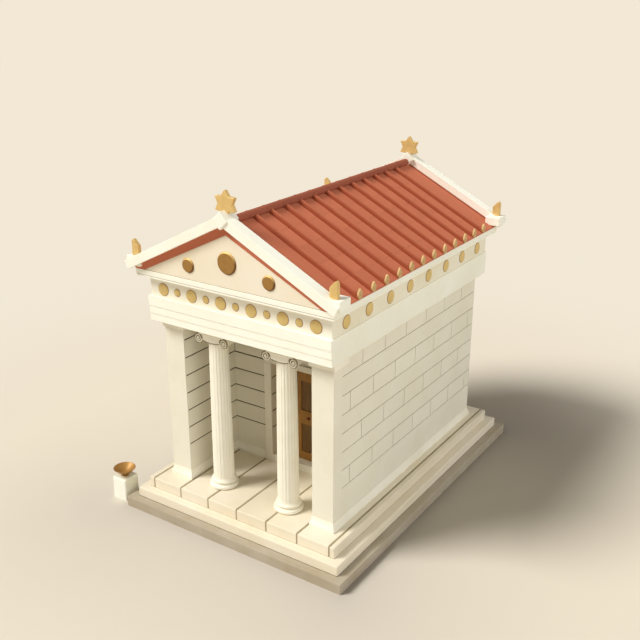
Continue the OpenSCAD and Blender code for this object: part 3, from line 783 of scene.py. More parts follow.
class CoursedFace(GeometryTree):
    """Face of a wall in level courses; every second course is cut into blocks.

    It runs from 0 along X, from 0 inwards along Y and from 0 up Z. Counted from the top, courses
    1, 3, 5 and 7 are cut, and the cuts of 1 and 5 lie half a block from those of 3 and 7. The
    other courses reach further by the two quoin lengths.
    """

    title = "Coursed wall face"
    sizes = {"Length": 6.5, "Thickness": 0.4, "Height": 4.05, "Foot": 0.919, "Course": 0.4449,
             "Rows": 8, "Blocks": 9, "Block": 0.971, "Start": 0.357, "Joint": 0.008,
             "Upright Joint": 0.008, "Cut": 1.0, "Quoin Start": 0.0, "Quoin End": 0.0}
    narrowest = 0.03             # a block thinner than this is left out

    def grow(self) -> Node:
        """Place one point for each block, and a stone of the right size on each point.

        Returns:
            The last node.
        """
        add = self.add
        (length, thickness, height, foot, course, rows, blocks, block, start, joint, upright,
         cut, quoin_start, quoin_end) = self.given
        index = add("GeometryNodeInputIndex")
        row = add(Math.FLOOR, add(Math.DIVIDE, index, blocks))
        column = add(Math.MODULO, index, blocks)
        from_top = add(Math.SUBTRACT, add(Math.SUBTRACT, rows, 1.0), row)
        second, fourth = (add(Math.LESS_THAN, add(Math.MODULO, from_top, every), 0.5)
                          for every in (2.0, 4.0))
        is_cut = add(Math.MULTIPLY, second, cut)
        # ends of the block in a cut course
        shifted = add(Math.ADD, column, add(Math.MULTIPLY, fourth, 0.5))
        begin = add(Math.MULTIPLY_ADD, add(Math.SUBTRACT, shifted, 1.0), block, start)
        cuts = [add("ShaderNodeClamp", end, 0.0, length)
                for end in (begin, add(Math.ADD, begin, block))]
        # a course that isn't cut has one stone, on its first point
        ends = add(Math.ADD, length, quoin_end)
        whole = add(MIX, add(Math.MINIMUM, column, 1.0),
                    A=add(Math.MULTIPLY, quoin_start, -1.0), B=ends)
        begin, end = (add(MIX, is_cut, A=uncut, B=at) for uncut, at in zip((whole, ends), cuts))
        # lower and upper edge of the course
        edges = [add(Math.MULTIPLY_ADD, number, course, foot)
                 for number in (add(Math.SUBTRACT, row, 1.0), row)]
        low = add(Math.MULTIPLY, edges[0], add(Math.MINIMUM, row, 1.0))
        high = add(MIX, add(Math.LESS_THAN, from_top, 0.5), A=edges[1], B=height)
        (width, across), (tall, up) = (
            (add(Math.SUBTRACT, add(Math.SUBTRACT, b, a), gap),
             add(Math.MULTIPLY, add(Math.ADD, a, b), 0.5))
            for a, b, gap in ((begin, end, upright), (low, high, joint)))
        points = add("GeometryNodePoints", add(Math.MULTIPLY, rows, blocks))
        placed = add("GeometryNodeSetPosition", points, Position=add(
            COMBINE, across, add(Math.MULTIPLY, thickness, 0.5), up))
        return add("GeometryNodeInstanceOnPoints", placed,
                   Instance=add("GeometryNodeMeshCube"),
                   Selection=add(Math.GREATER_THAN, width, self.narrowest),
                   Scale=add(COMBINE, width, thickness, tall))


class SlabRow(GeometryTree):
    """Row of long paving slabs along X, centred on the origin, between two border strips."""

    title = "Paving slabs"
    sizes = {"Width": 5.32, "Length": 7.78, "Height": 0.26, "Border": 0.14, "Slabs": 6,
             "Joint": 0.01}

    def grow(self) -> Node:
        """Place one point for each slab and strip, and a slab of the right width on each.

        Returns:
            The last node.
        """
        add, (width, length, height, border, slabs, joint) = self.add, self.given
        index = add("GeometryNodeInputIndex")
        pitch = add(Math.DIVIDE, add(Math.MULTIPLY_ADD, border, -2.0, width), slabs)
        half = add(Math.MULTIPLY, width, 0.5)
        # edge k lies at -half, then at the border and one pitch further each time, then at half
        edges = []
        for shift in (0.0, 1.0):
            edge = add(Math.ADD, index, shift)
            along = add(Math.MULTIPLY_ADD, add(Math.SUBTRACT, edge, 1.0), pitch,
                        add(Math.SUBTRACT, border, half))
            inside = add(MIX, add(Math.LESS_THAN, edge, 0.5), A=along,
                         B=add(Math.MULTIPLY, half, -1.0))
            is_last = add(Math.GREATER_THAN, edge, add(Math.ADD, slabs, 1.5))
            edges.append(add(MIX, is_last, A=inside, B=half))
        wide = add(Math.SUBTRACT, add(Math.SUBTRACT, edges[1], edges[0]), joint)
        placed = add("GeometryNodeSetPosition", add("GeometryNodePoints", add(
            Math.ADD, slabs, 2.0)), Position=add(COMBINE, add(
                Math.MULTIPLY, add(Math.ADD, *edges), 0.5)))
        return add("GeometryNodeInstanceOnPoints", placed, Instance=add("GeometryNodeMeshCube"),
                   Scale=add(COMBINE, wide, length, height))


class FlutedShaft(GeometryTree):
    """Column shaft about Z, from 0 up: it tapers, and its flutes die out at both ends."""

    title = "Fluted shaft"
    sizes = {"Foot Radius": 0.25, "Top Radius": 0.22, "Height": 3.385, "Flutes": 20,
             "Depth": 0.016, "Fillet": 0.2, "End": 0.07}
    steps_per_flute = 12.0
    entasis = 1.35               # the taper starts slowly, as this power of the height
    plain = 0.02                 # height without flutes at each end

    def grow(self) -> Node:
        """Set the radius of every vertex of a cylinder from its height and its angle.

        Returns:
            The last node.
        """
        add, (foot, top, full, flutes, deep, fillet, end) = self.add, self.given
        tube = add("GeometryNodeMeshCylinder", Side_Segments=44, Radius=1.0, Depth=full,
                   Vertices=add(Math.MULTIPLY, flutes, self.steps_per_flute))
        x, y, z = add("ShaderNodeSeparateXYZ", add("GeometryNodeInputPosition")).outputs
        height = add(Math.ADD, add(Math.MULTIPLY, full, 0.5), z)
        eased = add(Math.POWER, add(Math.DIVIDE, height, full), self.entasis)
        radius = add(MIX, eased, A=foot, B=top)
        turn = add(Math.DIVIDE, add(Math.MULTIPLY, add(Math.ARCTAN2, y, x), flutes), 2 * math.pi)
        phase = add(Math.FRACT, add(Math.ADD, turn, 20.0))
        # 1 on the fillet between two flutes, 0 in the middle of a flute
        across = add(Math.MULTIPLY, add(Math.ABSOLUTE, add(Math.SUBTRACT, phase, 0.5)), 2.0)
        hollow = add(Math.MINIMUM, add(Math.DIVIDE, across, add(Math.SUBTRACT, 1.0, fillet)), 1.0)
        curve = add(Math.SUBTRACT, 1.0, add(Math.POWER, hollow, 2.0))
        # the flutes end in a quarter round at the foot and at the top
        to_end = add(Math.MINIMUM, height, add(Math.SUBTRACT, full, height))
        opening = add(RANGE, to_end, self.plain, end, interpolation_type="SMOOTHSTEP")
        depth = add(Math.MULTIPLY, add(Math.MULTIPLY, curve, opening), deep)
        cut = add(Math.SUBTRACT, radius, depth)
        return add("GeometryNodeSetPosition", tube, Position=add(
            COMBINE, *(add(Math.MULTIPLY, side, cut) for side in (x, y)), height))


class Scroll(GeometryTree):
    """Raised spiral of a volute with its eye, flat in XY about the origin."""

    title = "Volute scroll"
    sizes = {"Outer": 0.106, "Eye": 0.026, "Turns": 2.3, "Roll": 0.0085}

    def grow(self) -> Node:
        """Sweep a round roll along a spiral, and put a low dome in the middle.

        Returns:
            The last node.
        """
        add, (outer, eye, turns, roll) = self.add, self.given
        spiral = add("GeometryNodeCurveSpiral", Resolution=40, Rotations=turns, Start_Radius=eye,
                     End_Radius=outer, Height=0.0)
        swept = add("GeometryNodeCurveToMesh", spiral, Fill_Caps=True, Profile_Curve=add(
            "GeometryNodeCurvePrimitiveCircle", Resolution=10, Radius=roll))
        dome = add("GeometryNodeTransform", add("GeometryNodeMeshUVSphere", 24, 12, eye),
                   Scale=(1.0, 1.0, 0.45))
        return add("GeometryNodeJoinGeometry", [swept, dome])


class SaggingRoll(GeometryTree):
    """Round roll that hangs between two points in XY and sags in the middle."""

    title = "Sagging roll"
    sizes = {"Half Span": 0.24, "Height": 0.0, "Sag": 0.05, "Roll": 0.009}

    def grow(self) -> Node:
        """Sweep a round roll along an arc through its ends and its lowest point.

        Returns:
            The last node.
        """
        add, (half, height, sag, roll) = self.add, self.given
        hung = add("GeometryNodeCurveArc", Resolution=28, mode="POINTS",
                   Start=add(COMBINE, add(Math.MULTIPLY, half, -1.0), height),
                   Middle=add(COMBINE, Y=add(Math.SUBTRACT, height, sag)),
                   End=add(COMBINE, half, height))
        return add("GeometryNodeCurveToMesh", hung, Fill_Caps=True, Profile_Curve=add(
            "GeometryNodeCurvePrimitiveCircle", Resolution=10, Radius=roll))


class Field(GeometryTree):
    """Copies of one item in columns along X and rows along Y, centred on the origin."""

    title = "Field of items"
    sizes = {"Item": None, "Columns": 6, "Rows": 1, "Column Pitch": 0.8, "Row Pitch": 0.5}

    def grow(self) -> Node:
        """Put the item on the points of a grid.

        Returns:
            The last node.
        """
        add, (item, columns, rows, column_pitch, row_pitch) = self.add, self.given
        index = add("GeometryNodeInputIndex")
        place = []
        for number, count, pitch in (
                (add(Math.MODULO, index, columns), columns, column_pitch),
                (add(Math.FLOOR, add(Math.DIVIDE, index, columns)), rows, row_pitch)):
            middle = add(Math.MULTIPLY, add(Math.SUBTRACT, count, 1.0), 0.5)
            place.append(add(Math.MULTIPLY, add(Math.SUBTRACT, number, middle), pitch))
        points = add("GeometryNodePoints", add(Math.MULTIPLY, columns, rows))
        placed = add("GeometryNodeSetPosition", points, Position=add(COMBINE, *place))
        return add("GeometryNodeInstanceOnPoints", placed, Instance=add(
            "GeometryNodeObjectInfo", Object=item).outputs["Geometry"])

    @classmethod
    def of(cls, item: Shape, finish: Finish, place: Matrix = Matrix(), **sizes: Any) -> Shape:
        """Lay copies of a shape.

        Args:
            item: shape that is repeated; it is used up.
            finish: finish of the copies.
            place: where the field lies.
            sizes: inputs of the tree.

        Returns:
            A shape with all copies.
        """
        holder = stand("item", item.plain("item"))
        field = cls.run(finish, place, Item=holder, **sizes)
        bpy.data.meshes.remove(holder.data)
        return field


# ---- places ----

def corners(*nodes: str) -> tuple[Vector, Vector]:
    """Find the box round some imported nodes.

    Args:
        nodes: their names.

    Returns:
        Its lowest and its highest corner.
    """
    boxes = [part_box(node) for node in nodes]
    return (Vector([min(box[0][i] for box in boxes) for i in range(3)]),
            Vector([max(box[1][i] for box in boxes) for i in range(3)]))


def placed(x: float, y: float, z: float, turn: float = 0.0) -> Matrix:
    """Return the frame at a point, turned about Z by some degrees."""
    return Matrix.Translation((x, y, z)) @ Matrix.Rotation(math.radians(turn), 4, "Z")


def facing(x: float, y: float, z: float, normal: Axis, sign: int) -> Matrix:
    """Return a frame whose Z points out of a wall, with Y up and X along the wall.

    Args:
        x: place of its origin.
        y: place of its origin.
        z: place of its origin.
        normal: axis that the wall faces, X or Y.
        sign: 1 or -1, the direction on that axis.

    Returns:
        The frame, which is never mirrored.
    """
    out = Vector((sign, 0, 0)) if normal is Axis.X else Vector((0, sign, 0))
    up = Vector((0, 0, 1))
    return Matrix.Translation((x, y, z)) @ Matrix((up.cross(out), up, out)).transposed().to_4x4()


def arc(centre: Point, radius: float, start: float, end: float, steps: int) -> list[Point]:
    """Return points of an arc.

    Args:
        centre: its centre.
        radius: its radius.
        start: angle in degrees where it begins.
        end: angle in degrees where it ends.
        steps: number of chords.

    Returns:
        The points in order, both ends included.
    """
    turn = [math.radians(start + (end - start) * i / steps) for i in range(steps + 1)]
    return [(centre[0] + radius * math.cos(a), centre[1] + radius * math.sin(a)) for a in turn]


class SubAssembly:
    """Part of the building, which builds its own pieces and gives them their finish."""

    def build(self) -> None:
        """Build the pieces."""
        raise NotImplementedError


# ---- the building ----

@dataclass
class Crepis(SubAssembly):
    """Foundation course, lower step and the floor of long slabs."""

    worn_mm: float = 26.0        # arrises of the steps, rounded by wear
    tooled_mm: float = 18.0
    eased_mm: float = 13.0       # arrises along the joints of the floor
    joint: float = 0.032
    depth: float = 0.006         # how far down the mortar lies in a joint
    seam: float = 0.009          # height of the seam under the lower step
    floor_seam: float = 0.006    # height of the seam under the slabs
    seam_out: float = 0.002      # how far a seam stands out
    border: float = 0.140
    slabs: int = 6

    def build(self) -> None:
        """Build the three courses."""
        Shape().node("foundation_course").bevel(self.tooled_mm, 3, flat=[(Axis.Z, 0.0)]).piece(
            Slot.FOUNDATION, "foundation_course")
        self._seam("lower_step", "Step_seam", self.seam, MORTAR)
        self._seam("stylobate_slabs", "Floor_seam", self.floor_seam, FLOOR_MORTAR)
        low, _ = corners("lower_step")
        Shape().node("lower_step").bevel(self.worn_mm, 4, flat=[(Axis.Z, low.z)]).piece(
            Slot.STEP_MARBLE, "lower_step")
        self._slabs()

    def _seam(self, course: str, name: str, height: float, finish: Finish) -> None:
        """Build the thin seam of mortar that a course lies on.

        Args:
            course: node of the course.
            name: name of the seam.
            height: its height.
            finish: its finish.
        """
        low, high = corners(course)
        out = self.seam_out
        Shape().box((low.x - out, low.y - out, low.z - 2 * out),
                    (high.x + out, high.y + out, low.z + height)).piece(
            Slot.STEP_MARBLE, name=name, finish=finish)

    def _slabs(self) -> None:
        """Build the slabs, rounded outside and only eased along their joints."""
        low, high = corners("stylobate_slabs")
        size = high - low
        slabs = SlabRow.run(
            STEP_MARBLE, placed(0, 0, (low.z + high.z) / 2), Width=size.x + self.joint,
            Length=size.y, Height=size.z, Border=self.border + self.joint / 2,
            Slabs=self.slabs, Joint=self.joint)

        def outer(edge: Edge) -> bool:
            """Tell whether an edge lies on the outside of the whole floor.

            Args:
                edge: the edge.

            Returns:
                Whether it is an outer upright, or an outer edge of the top.
            """
            on_x, on_y, on_top = (all(abs(abs(v.co[i]) - high[i]) < TOUCH for v in edge.verts)
                                  for i in range(3))
            return on_x and on_y or on_top and (on_x or on_y)

        bottom = [(Axis.Z, low.z)]
        slabs.bevel(self.worn_mm, 4, flat=bottom, pick=outer)
        slabs.bevel(self.eased_mm, 2, flat=bottom).tone_blocks(3).piece(
            Slot.STEP_MARBLE, "stylobate_slabs", name="Floor_slabs")
        in_ = self.depth
        Shape().box((low.x + in_, low.y + in_, low.z + 0.002),
                    (high.x - in_, high.y - in_, high.z - in_)).bevel(
            self.worn_mm, 4, flat=bottom).piece(
            Slot.STEP_MARBLE, name="Floor_mortar", finish=FLOOR_MORTAR)


@dataclass
class Masonry(SubAssembly):
    """Walls in level courses, each with an outer and an inner face on a rough core."""

    foot: float = 0.919          # the lowest course, as tall as two
    course: float = 0.4449
    rows: int = 8
    door_rows: int = 5           # courses of the piers beside the door
    block: float = 0.971
    outer_leaf: float = 0.425
    joint: float = 0.014
    upright_joint: float = 0.017
    inner_joint: float = 0.030
    depth: float = 0.009         # how far back the mortar lies in a joint
    overlap: float = 0.006       # how far the blocks run into the anta
    arris_mm: float = 2.5
    pier: float = 0.340          # the anta, in one piece
    setback: float = 0.030       # inner face of a side wall, back from the front of its anta
    lintel_bearing: float = 0.200
    first_joint: float = -2.743  # place of an upright joint on the side walls

    def build(self) -> None:
        """Build the side walls, the rear wall and the door wall."""
        self._side("right_wall", Matrix())
        self._side("left_wall", Matrix.Scale(-1, 4, (1, 0, 0)))
        self._rear()
        self._door_wall()

    def _face(self, place: Matrix, **sizes: Any) -> Shape:
        """Build one coursed face and ease its arrises.

        Args:
            place: where its outer corner stands.
            sizes: inputs of the tree that differ from wall to wall.

        Returns:
            The face.
        """
        return CoursedFace.run(
            ASHLAR, place, Foot=self.foot, Course=self.course, Block=self.block,
            **{"Rows": self.rows, **sizes}).bevel(self.arris_mm, 2)

    def _outer(self, place: Matrix, **sizes: Any) -> Shape:
        """Build an outer face, whose courses are cut into blocks."""
        return self._face(place, Thickness=self.outer_leaf, Joint=self.joint,
                          Upright_Joint=self.upright_joint, **sizes)

    def _inner(self, place: Matrix, **sizes: Any) -> Shape:
        """Build an inner face, with one stone to a course."""
        return self._face(place, Blocks=1, Start=0.0, Joint=self.inner_joint,
                          Upright_Joint=0.002, Cut=0.0, **sizes)

    def _finish(self, wall: Shape, seed: int, core: Shape, *nodes: str) -> None:
        """Finish a wall as two pieces.

        Args:
            wall: its stones.
            seed: seed of their tones.
            core: its core, which is the mortar that the joints show.
            nodes: nodes that the stones stand for; the first gives the name.
        """
        name = nodes[0].removesuffix("_piers").capitalize()
        wall.tone_blocks(seed).piece(Slot.ASHLAR, *nodes, name=f"{name}_ashlar")
        core.piece(Slot.ASHLAR, name=f"{name}_mortar", finish=MORTAR)

    def _side(self, node: str, flip: Matrix) -> None:
        """Build a side wall with its anta.

        Args:
            node: node of the wall.
            flip: turns the right wall into this one.
        """
        low, high = corners("right_wall")
        size = high - low
        inner = size.x - self.outer_leaf
        front, inner_start = low.y + self.pier, low.y + self.setback
        rear_face = corners("rear_wall")[0].y
        start = front - self.overlap - self.upright_joint / 2
        wall = self._outer(
            placed(high.x, start, low.z, 90), Length=high.y - start + self.upright_joint / 2,
            Height=size.z, Blocks=9, Start=self.first_joint - start, Quoin_End=-self.outer_leaf)
        wall.join(self._inner(placed(low.x, rear_face, low.z, -90), Thickness=inner,
                              Length=rear_face - inner_start, Height=size.z))
        cap = corners("anta_capitals")[0].z
        shaft = Shape().prism([
            (low.x, low.y), (high.x, low.y), (high.x, front), (low.x + inner, front),
            (low.x + inner, inner_start), (low.x, inner_start)], Axis.Z, low.z, cap)
        wall.join(shaft.bevel(self.arris_mm, 2, flat=[(Axis.Z, low.z), (Axis.Z, cap)]))
        in_ = self.depth
        core = Shape().box((low.x + in_, low.y + in_, low.z), (high.x - in_, high.y - in_, high.z))
        self._finish(Shape().join(wall, flip), 11, Shape().join(core, flip), node)

    def _rear(self) -> None:
        """Build the rear wall between the side walls."""
        low, high = corners("rear_wall")
        size = high - low
        half = corners("right_wall")[1].x - self.outer_leaf
        corner = self.outer_leaf + self.upright_joint / 2
        wall = self._outer(
            placed(half, high.y, low.z, 180), Length=2 * half, Height=size.z, Blocks=6,
            Start=half - 2 * self.block, Quoin_Start=corner, Quoin_End=corner)
        wall.join(self._inner(placed(*low), Length=size.x, Thickness=size.y - self.outer_leaf,
                              Height=size.z))
        self._finish(wall, 12, Shape().box((low.x, low.y + self.depth, low.z),
                                           (high.x, high.y - self.depth, high.z)), "rear_wall")

    def _door_wall(self) -> None:
        """Build the wall round the door: two piers, a lintel, and the courses over it."""
        low, high = corners("door_wall_piers", "door_wall_over")
        door = corners("threshold")[1].x
        lintel = corners("door_wall_over")[0].z
        pier_top, over_lintel, last = (low.z + self.foot + self.course * (self.door_rows - 1 + i)
                                       for i in range(3))
        over = door + self.lintel_bearing
        gap, in_ = self.inner_joint / 2, self.depth
        wall = Shape()
        for x in (-high.x, door):
            wall.join(self._inner(
                placed(x, low.y, low.z), Length=high.x - door, Thickness=high.y - low.y,
                Height=pier_top - low.z, Rows=self.door_rows))
        foot, head = pier_top + gap, over_lintel - gap
        blocks = Shape().prism([
            (-door, lintel), (door, lintel), (door, foot), (over - gap, foot),
            (over - gap, head), (gap - over, head), (gap - over, foot), (-door, foot)],
            Axis.Y, low.y, high.y)
        for x0, x1, z0, z1 in ((over, high.x, pier_top, over_lintel),
                               (-high.x, -over, pier_top, over_lintel),
                               (-high.x, high.x, over_lintel, last),
                               (-high.x, high.x, last, high.z)):
            blocks.box((x0 + gap, low.y, z0 + gap), (x1 - gap, high.y, z1 - gap))
        wall.join(blocks.bevel(self.arris_mm, 2))
        core = Shape()
        for x0, x1, z0, z1 in ((-high.x, -door - in_, low.z, pier_top),
                               (door + in_, high.x, low.z, pier_top),
                               (-high.x, high.x, lintel + in_, high.z)):
            core.box((x0, low.y + in_, z0), (x1, high.y - in_, z1))
        self._finish(wall, 13, core, "door_wall_piers", "door_wall_over")


@dataclass
class WallTrim(SubAssembly):
    """Moulding round the foot of the walls, and the capitals of the antae."""

    arris_mm: float = 7.0

    def build(self) -> None:
        """Build the trim."""
        feet = ["foot_moulding_left", "foot_moulding_right"]
        low, _ = corners(*feet)
        foot = Shape().node(feet[0]).node(feet[1])
        foot.bevel(self.arris_mm, 2, flat=[(Axis.Z, low.z), (Axis.X, 0.0)], angle=35.0)
        foot.piece(Slot.MARBLE, *feet, name="Foot_moulding")
        _, high = corners("anta_capitals")
        Shape().node("anta_capitals").bevel(self.arris_mm, 3, flat=[(Axis.Z, high.z)]).piece(
            Slot.MARBLE, "anta_capitals")


@dataclass
class Columns(SubAssembly):
    """The two Ionic columns of the porch: Attic-like bases, fluted shafts, volute capitals."""

    lower_torus: Point = (0.345, 0.112)    # radius, height
    groove: Point = (0.262, 0.018)
    upper_torus: Point = (0.297, 0.090)
    taper: float = 0.88          # radius of the shaft at the top, as a share of the foot's
    flutes: int = 20
    flute_depth: float = 0.0085
    fillet: float = 0.45         # share of the shaft left plain between two flutes
    echinus: tuple[Point, ...] = ((0.0, 0.0), (0.222, 0.0), (0.228, 0.008), (0.228, 0.018),
                                  (0.221, 0.024))    # its foot; a round and the neck follow
    neck: tuple[Point, ...] = ((0.2, 0.15), (0.0, 0.15))
    volute: float = 0.115
    volute_spacing: float = 0.708
    waist: float = 0.72          # narrowest part of the side roll, as a share of the volute
    roll_steps: int = 26
    abacus_low: float = 0.065
    abacus_mm: float = 7.0
    scroll_turns: float = 1.75
    eye: float = 0.024
    roll: float = 0.0110         # half the width of the raised spiral
    relief: float = 0.018
    channel: float = 0.118       # radius of the dark disc of painted shade behind a spiral
    sag: float = 0.070           # how far the band between the scrolls hangs

    def build(self) -> None:
        """Build one column of each sort, then the pair."""
        low, high = corners("column_bases")
        self.x = high.x - self.lower_torus[0]
        self.y = (low.y + high.y) / 2
        low, high = corners("column_capitals")
        self.half, self.tall = (high.y - low.y) / 2, high.z - low.z
        self.sunk = self.half - 0.006 - self.relief     # ground that the scrolls stand out from
        self.middle = self.channel + 0.006              # height of the volutes' middle
        self.arm = self.volute_spacing / 2
        self._pair(self._base(), "column_bases")
        self._pair(self._shaft(), "column_shafts")
        self._pair(self._capital(), "column_capitals")
        # the dark channels of the capitals are painted shade
        self._pair(self._channels(), "column_capitals", CHANNEL_SHADE)

    def _pair(self, part: Shape, node: str, finish: Finish | None = None) -> None:
        """Stand a part on both column axes and finish it as a piece.

        Args:
            part: the part, about its own axis.
            node: node that it stands for, or stands beside if it has its own finish.
            finish: a finish that varies marble.
        """
        z = corners(node)[0].z
        both = Shape().join(part, placed(self.x, self.y, z)).join(part, placed(-self.x, self.y, z))
        both.piece(
            Slot.MARBLE, *([] if finish else [node]),
            name=node.capitalize() + ("_channels" if finish else ""), finish=finish)

    def _base(self) -> Shape:
        """Turn the base: two rolls with a groove between them, and a curve up to the shaft.

        Returns:
            The base, from 0 up its own axis.
        """
        low, high = corners("column_bases")
        foot = corners("column_shafts")[1].x - self.x + 0.002
        half, upper = self.lower_torus[1] / 2, self.upper_torus[1] / 2
        profile = [(0.0, 0.0), *arc((self.lower_torus[0] - half, half), half, -90, 90, 14)]
        height = self.lower_torus[1]
        depth, tall = self.groove
        profile += [(self.lower_torus[0] - half - 0.004, height), (depth, height + tall / 2)]
        height += tall
        profile += arc((self.upper_torus[0] - upper, height + upper), upper, -90, 90, 14)
        height += self.upper_torus[1]
        rise = high.z - low.z - height
        profile += [(foot + 0.018 * (1 - i / 8) ** 2, height + rise * i / 8) for i in range(9)]
        return Shape().turned([*profile, (0.0, high.z - low.z)])

    def _shaft(self) -> Shape:
        """Run the shaft tree.

        Returns:
            The shaft, from 0 up its own axis.
        """
        low, high = corners("column_shafts")
        foot = high.x - self.x
        return FlutedShaft.run(
            MARBLE, Foot_Radius=foot, Top_Radius=foot * self.taper, Height=high.z - low.z,
            Flutes=self.flutes, Depth=self.flute_depth, Fillet=self.fillet)

    def _capital(self) -> Shape:
        """Put together the echinus, the side rolls, the scrolls and the abacus.

        Returns:
            The capital, from 0 up its own axis.
        """
        arm, eye, top, tall = self.arm, self.middle, self.middle + self.volute, self.tall
        across = Matrix.Rotation(math.radians(90), 4, "X")
        cap = Shape().turned([*self.echinus, *arc((0.205, 0.062), 0.038, -60, 70, 8), *self.neck])
        for side in (-1, 1):
            cap.turned(self._roll_profile(), Matrix.Translation((side * arm, 0, eye)) @ across, 72)
        sag = [(arm * t / 12, eye - self.sag + self.sag * (t / 12) ** 2) for t in range(-11, 12)]
        cap.join(Shape().prism([(-arm, eye), *sag, (arm, eye), (arm, top), (-arm, top)],
                               Axis.Y, -self.sunk - 0.004, self.sunk + 0.004))
        scroll = Scroll.run(MARBLE, placed(0, 0, 0, 90), Outer=self.volute - self.roll,
                            Eye=self.eye, Turns=self.scroll_turns, Roll=self.roll)
        lip = SaggingRoll.run(MARBLE, Half_Span=arm, Height=self.volute - self.roll, Sag=0.0001,
                              Roll=self.roll)
        for sign in (-1, 1):
            out = facing(0, sign * (self.sunk + 0.007), eye, Axis.Y, sign)
            for side in (-1, 1):
                cap.join(scroll, out @ Matrix.Translation((side * arm, 0, 0))
                         @ Matrix.Scale(side, 4, (1, 0, 0)))
            cap.join(lip, out)
        abacus, half = Shape(), self.half
        abacus.box((-arm + 0.020, -half + 0.040, top - 0.001),
                   (arm - 0.020, half - 0.040, top + self.abacus_low))
        abacus.box((-arm - 0.020, -half + 0.020, top + self.abacus_low - 0.001),
                   (arm + 0.020, half - 0.020, tall))
        return cap.join(abacus.bevel(self.abacus_mm, 2, flat=[(Axis.Z, tall)]))

    def _channels(self) -> Shape:
        """Build the dark discs of painted shade behind the spirals, and the dark roll of painted
        shade under the band.

        Returns:
            Both, as they lie in the capital.
        """
        dark, wide = Shape(), self.channel
        groove = SaggingRoll.run(MARBLE, Half_Span=self.arm * 0.72, Height=-self.sag * 0.48,
                                 Sag=self.sag * 0.56, Roll=self.roll)
        for sign in (-1, 1):
            out = facing(0, sign * self.sunk, self.middle, Axis.Y, sign)
            for side in (-1, 1):
                dark.turned([(0.0, -0.012), (wide - 0.002, -0.012), (wide, -0.010),
                             (wide, 0.007), (wide - 0.003, 0.009), (0.0, 0.009)],
                            out @ Matrix.Translation((side * self.arm, 0, 0)), 64)
            dark.join(groove, out)
        return dark

    def _roll_profile(self) -> list[Point]:
        """Draw the profile of a side roll: full at its ends and waisted in the middle.

        Returns:
            Its radius and place along the roll, from end to end.
        """
        half, full, thin = self.sunk, self.volute, self.volute * self.waist
        waisted = [(thin + (full - thin) * abs(at) ** 2.2, at * (half - 0.028))
                   for at in (-1 + 2 * i / self.roll_steps for i in range(self.roll_steps + 1))]
        return [(0.0, -half), (full - 0.006, -half), (full, -half + 0.006), *waisted,
                (full, half - 0.006), (full - 0.006, half), (0.0, half)]


@dataclass
class Doorway(SubAssembly):
    """Threshold, stone casing and the two leaves of the door."""

    corner_mm: float = 34.0      # rounding of the corners of the sunk panels
    arris_mm: float = 7.0
    stem: float = 0.0125         # radius of the stem of a boss
    knob: float = 0.0185         # radius of its head

    def build(self) -> None:
        """Build the stone surround, then each leaf on its own body."""
        low, _ = corners("threshold")
        Shape().node("threshold").bevel(self.arris_mm, 2, flat=[(Axis.Z, low.z)]).piece(
            Slot.MARBLE, "threshold")
        low, high = corners("door_casing")
        Shape().node("door_casing").bevel(
            self.arris_mm, 2, flat=[(Axis.Z, low.z), (Axis.Y, high.y)]).piece(
            Slot.MARBLE, "door_casing")
        for body in (Body.LEFT_LEAF, Body.RIGHT_LEAF):
            self._leaf(body)

    def _leaf(self, body: Body) -> None:
        """Build the frame, the panels and the boss of one leaf.

        Args:
            body: body of the leaf, whose name starts those of its nodes.
        """
        leaf = body.value

        def inside_corner(edge: Edge) -> bool:
            """Tell whether an edge is a corner of an opening, along the leaf's thickness."""
            along = edge.verts[1].co - edge.verts[0].co
            return not edge.is_convex and abs(along.y) > 0.9 * along.length

        Shape().node(f"{leaf}_frame").bevel(
            self.corner_mm, 6, pick=inside_corner, convex=False).bevel(
            self.arris_mm, 2, angle=50.0).piece(Slot.DOOR_FRAME, f"{leaf}_frame", body=body)
        Shape().node(f"{leaf}_panels").bevel(2, 1).piece(
            Slot.DOOR_PANEL, f"{leaf}_panels", body=body)
        low, high = corners(f"{leaf}_boss")
        radius, out = (high.x - low.x) / 2, high.y - low.y
        stem, knob = self.stem, self.knob
        ring = [(0.0, -0.004), (radius - 0.002, -0.004), (radius, 0.002),
                *arc((radius - 0.009, 0.006), 0.008, 0, 180, 8), (radius - 0.020, 0.004),
                (stem + 0.002, 0.004), (stem, 0.010), (stem, out - 0.030),
                *arc((0.0, out - knob), knob, -48, 84, 10), (0.0, out)]
        place = facing((low.x + high.x) / 2, high.y, (low.z + high.z) / 2, Axis.Y, -1)
        Shape().turned(ring, place, 40).piece(
            Slot.BRONZE, f"{leaf}_boss", body=body, finish=DARK_BRONZE)


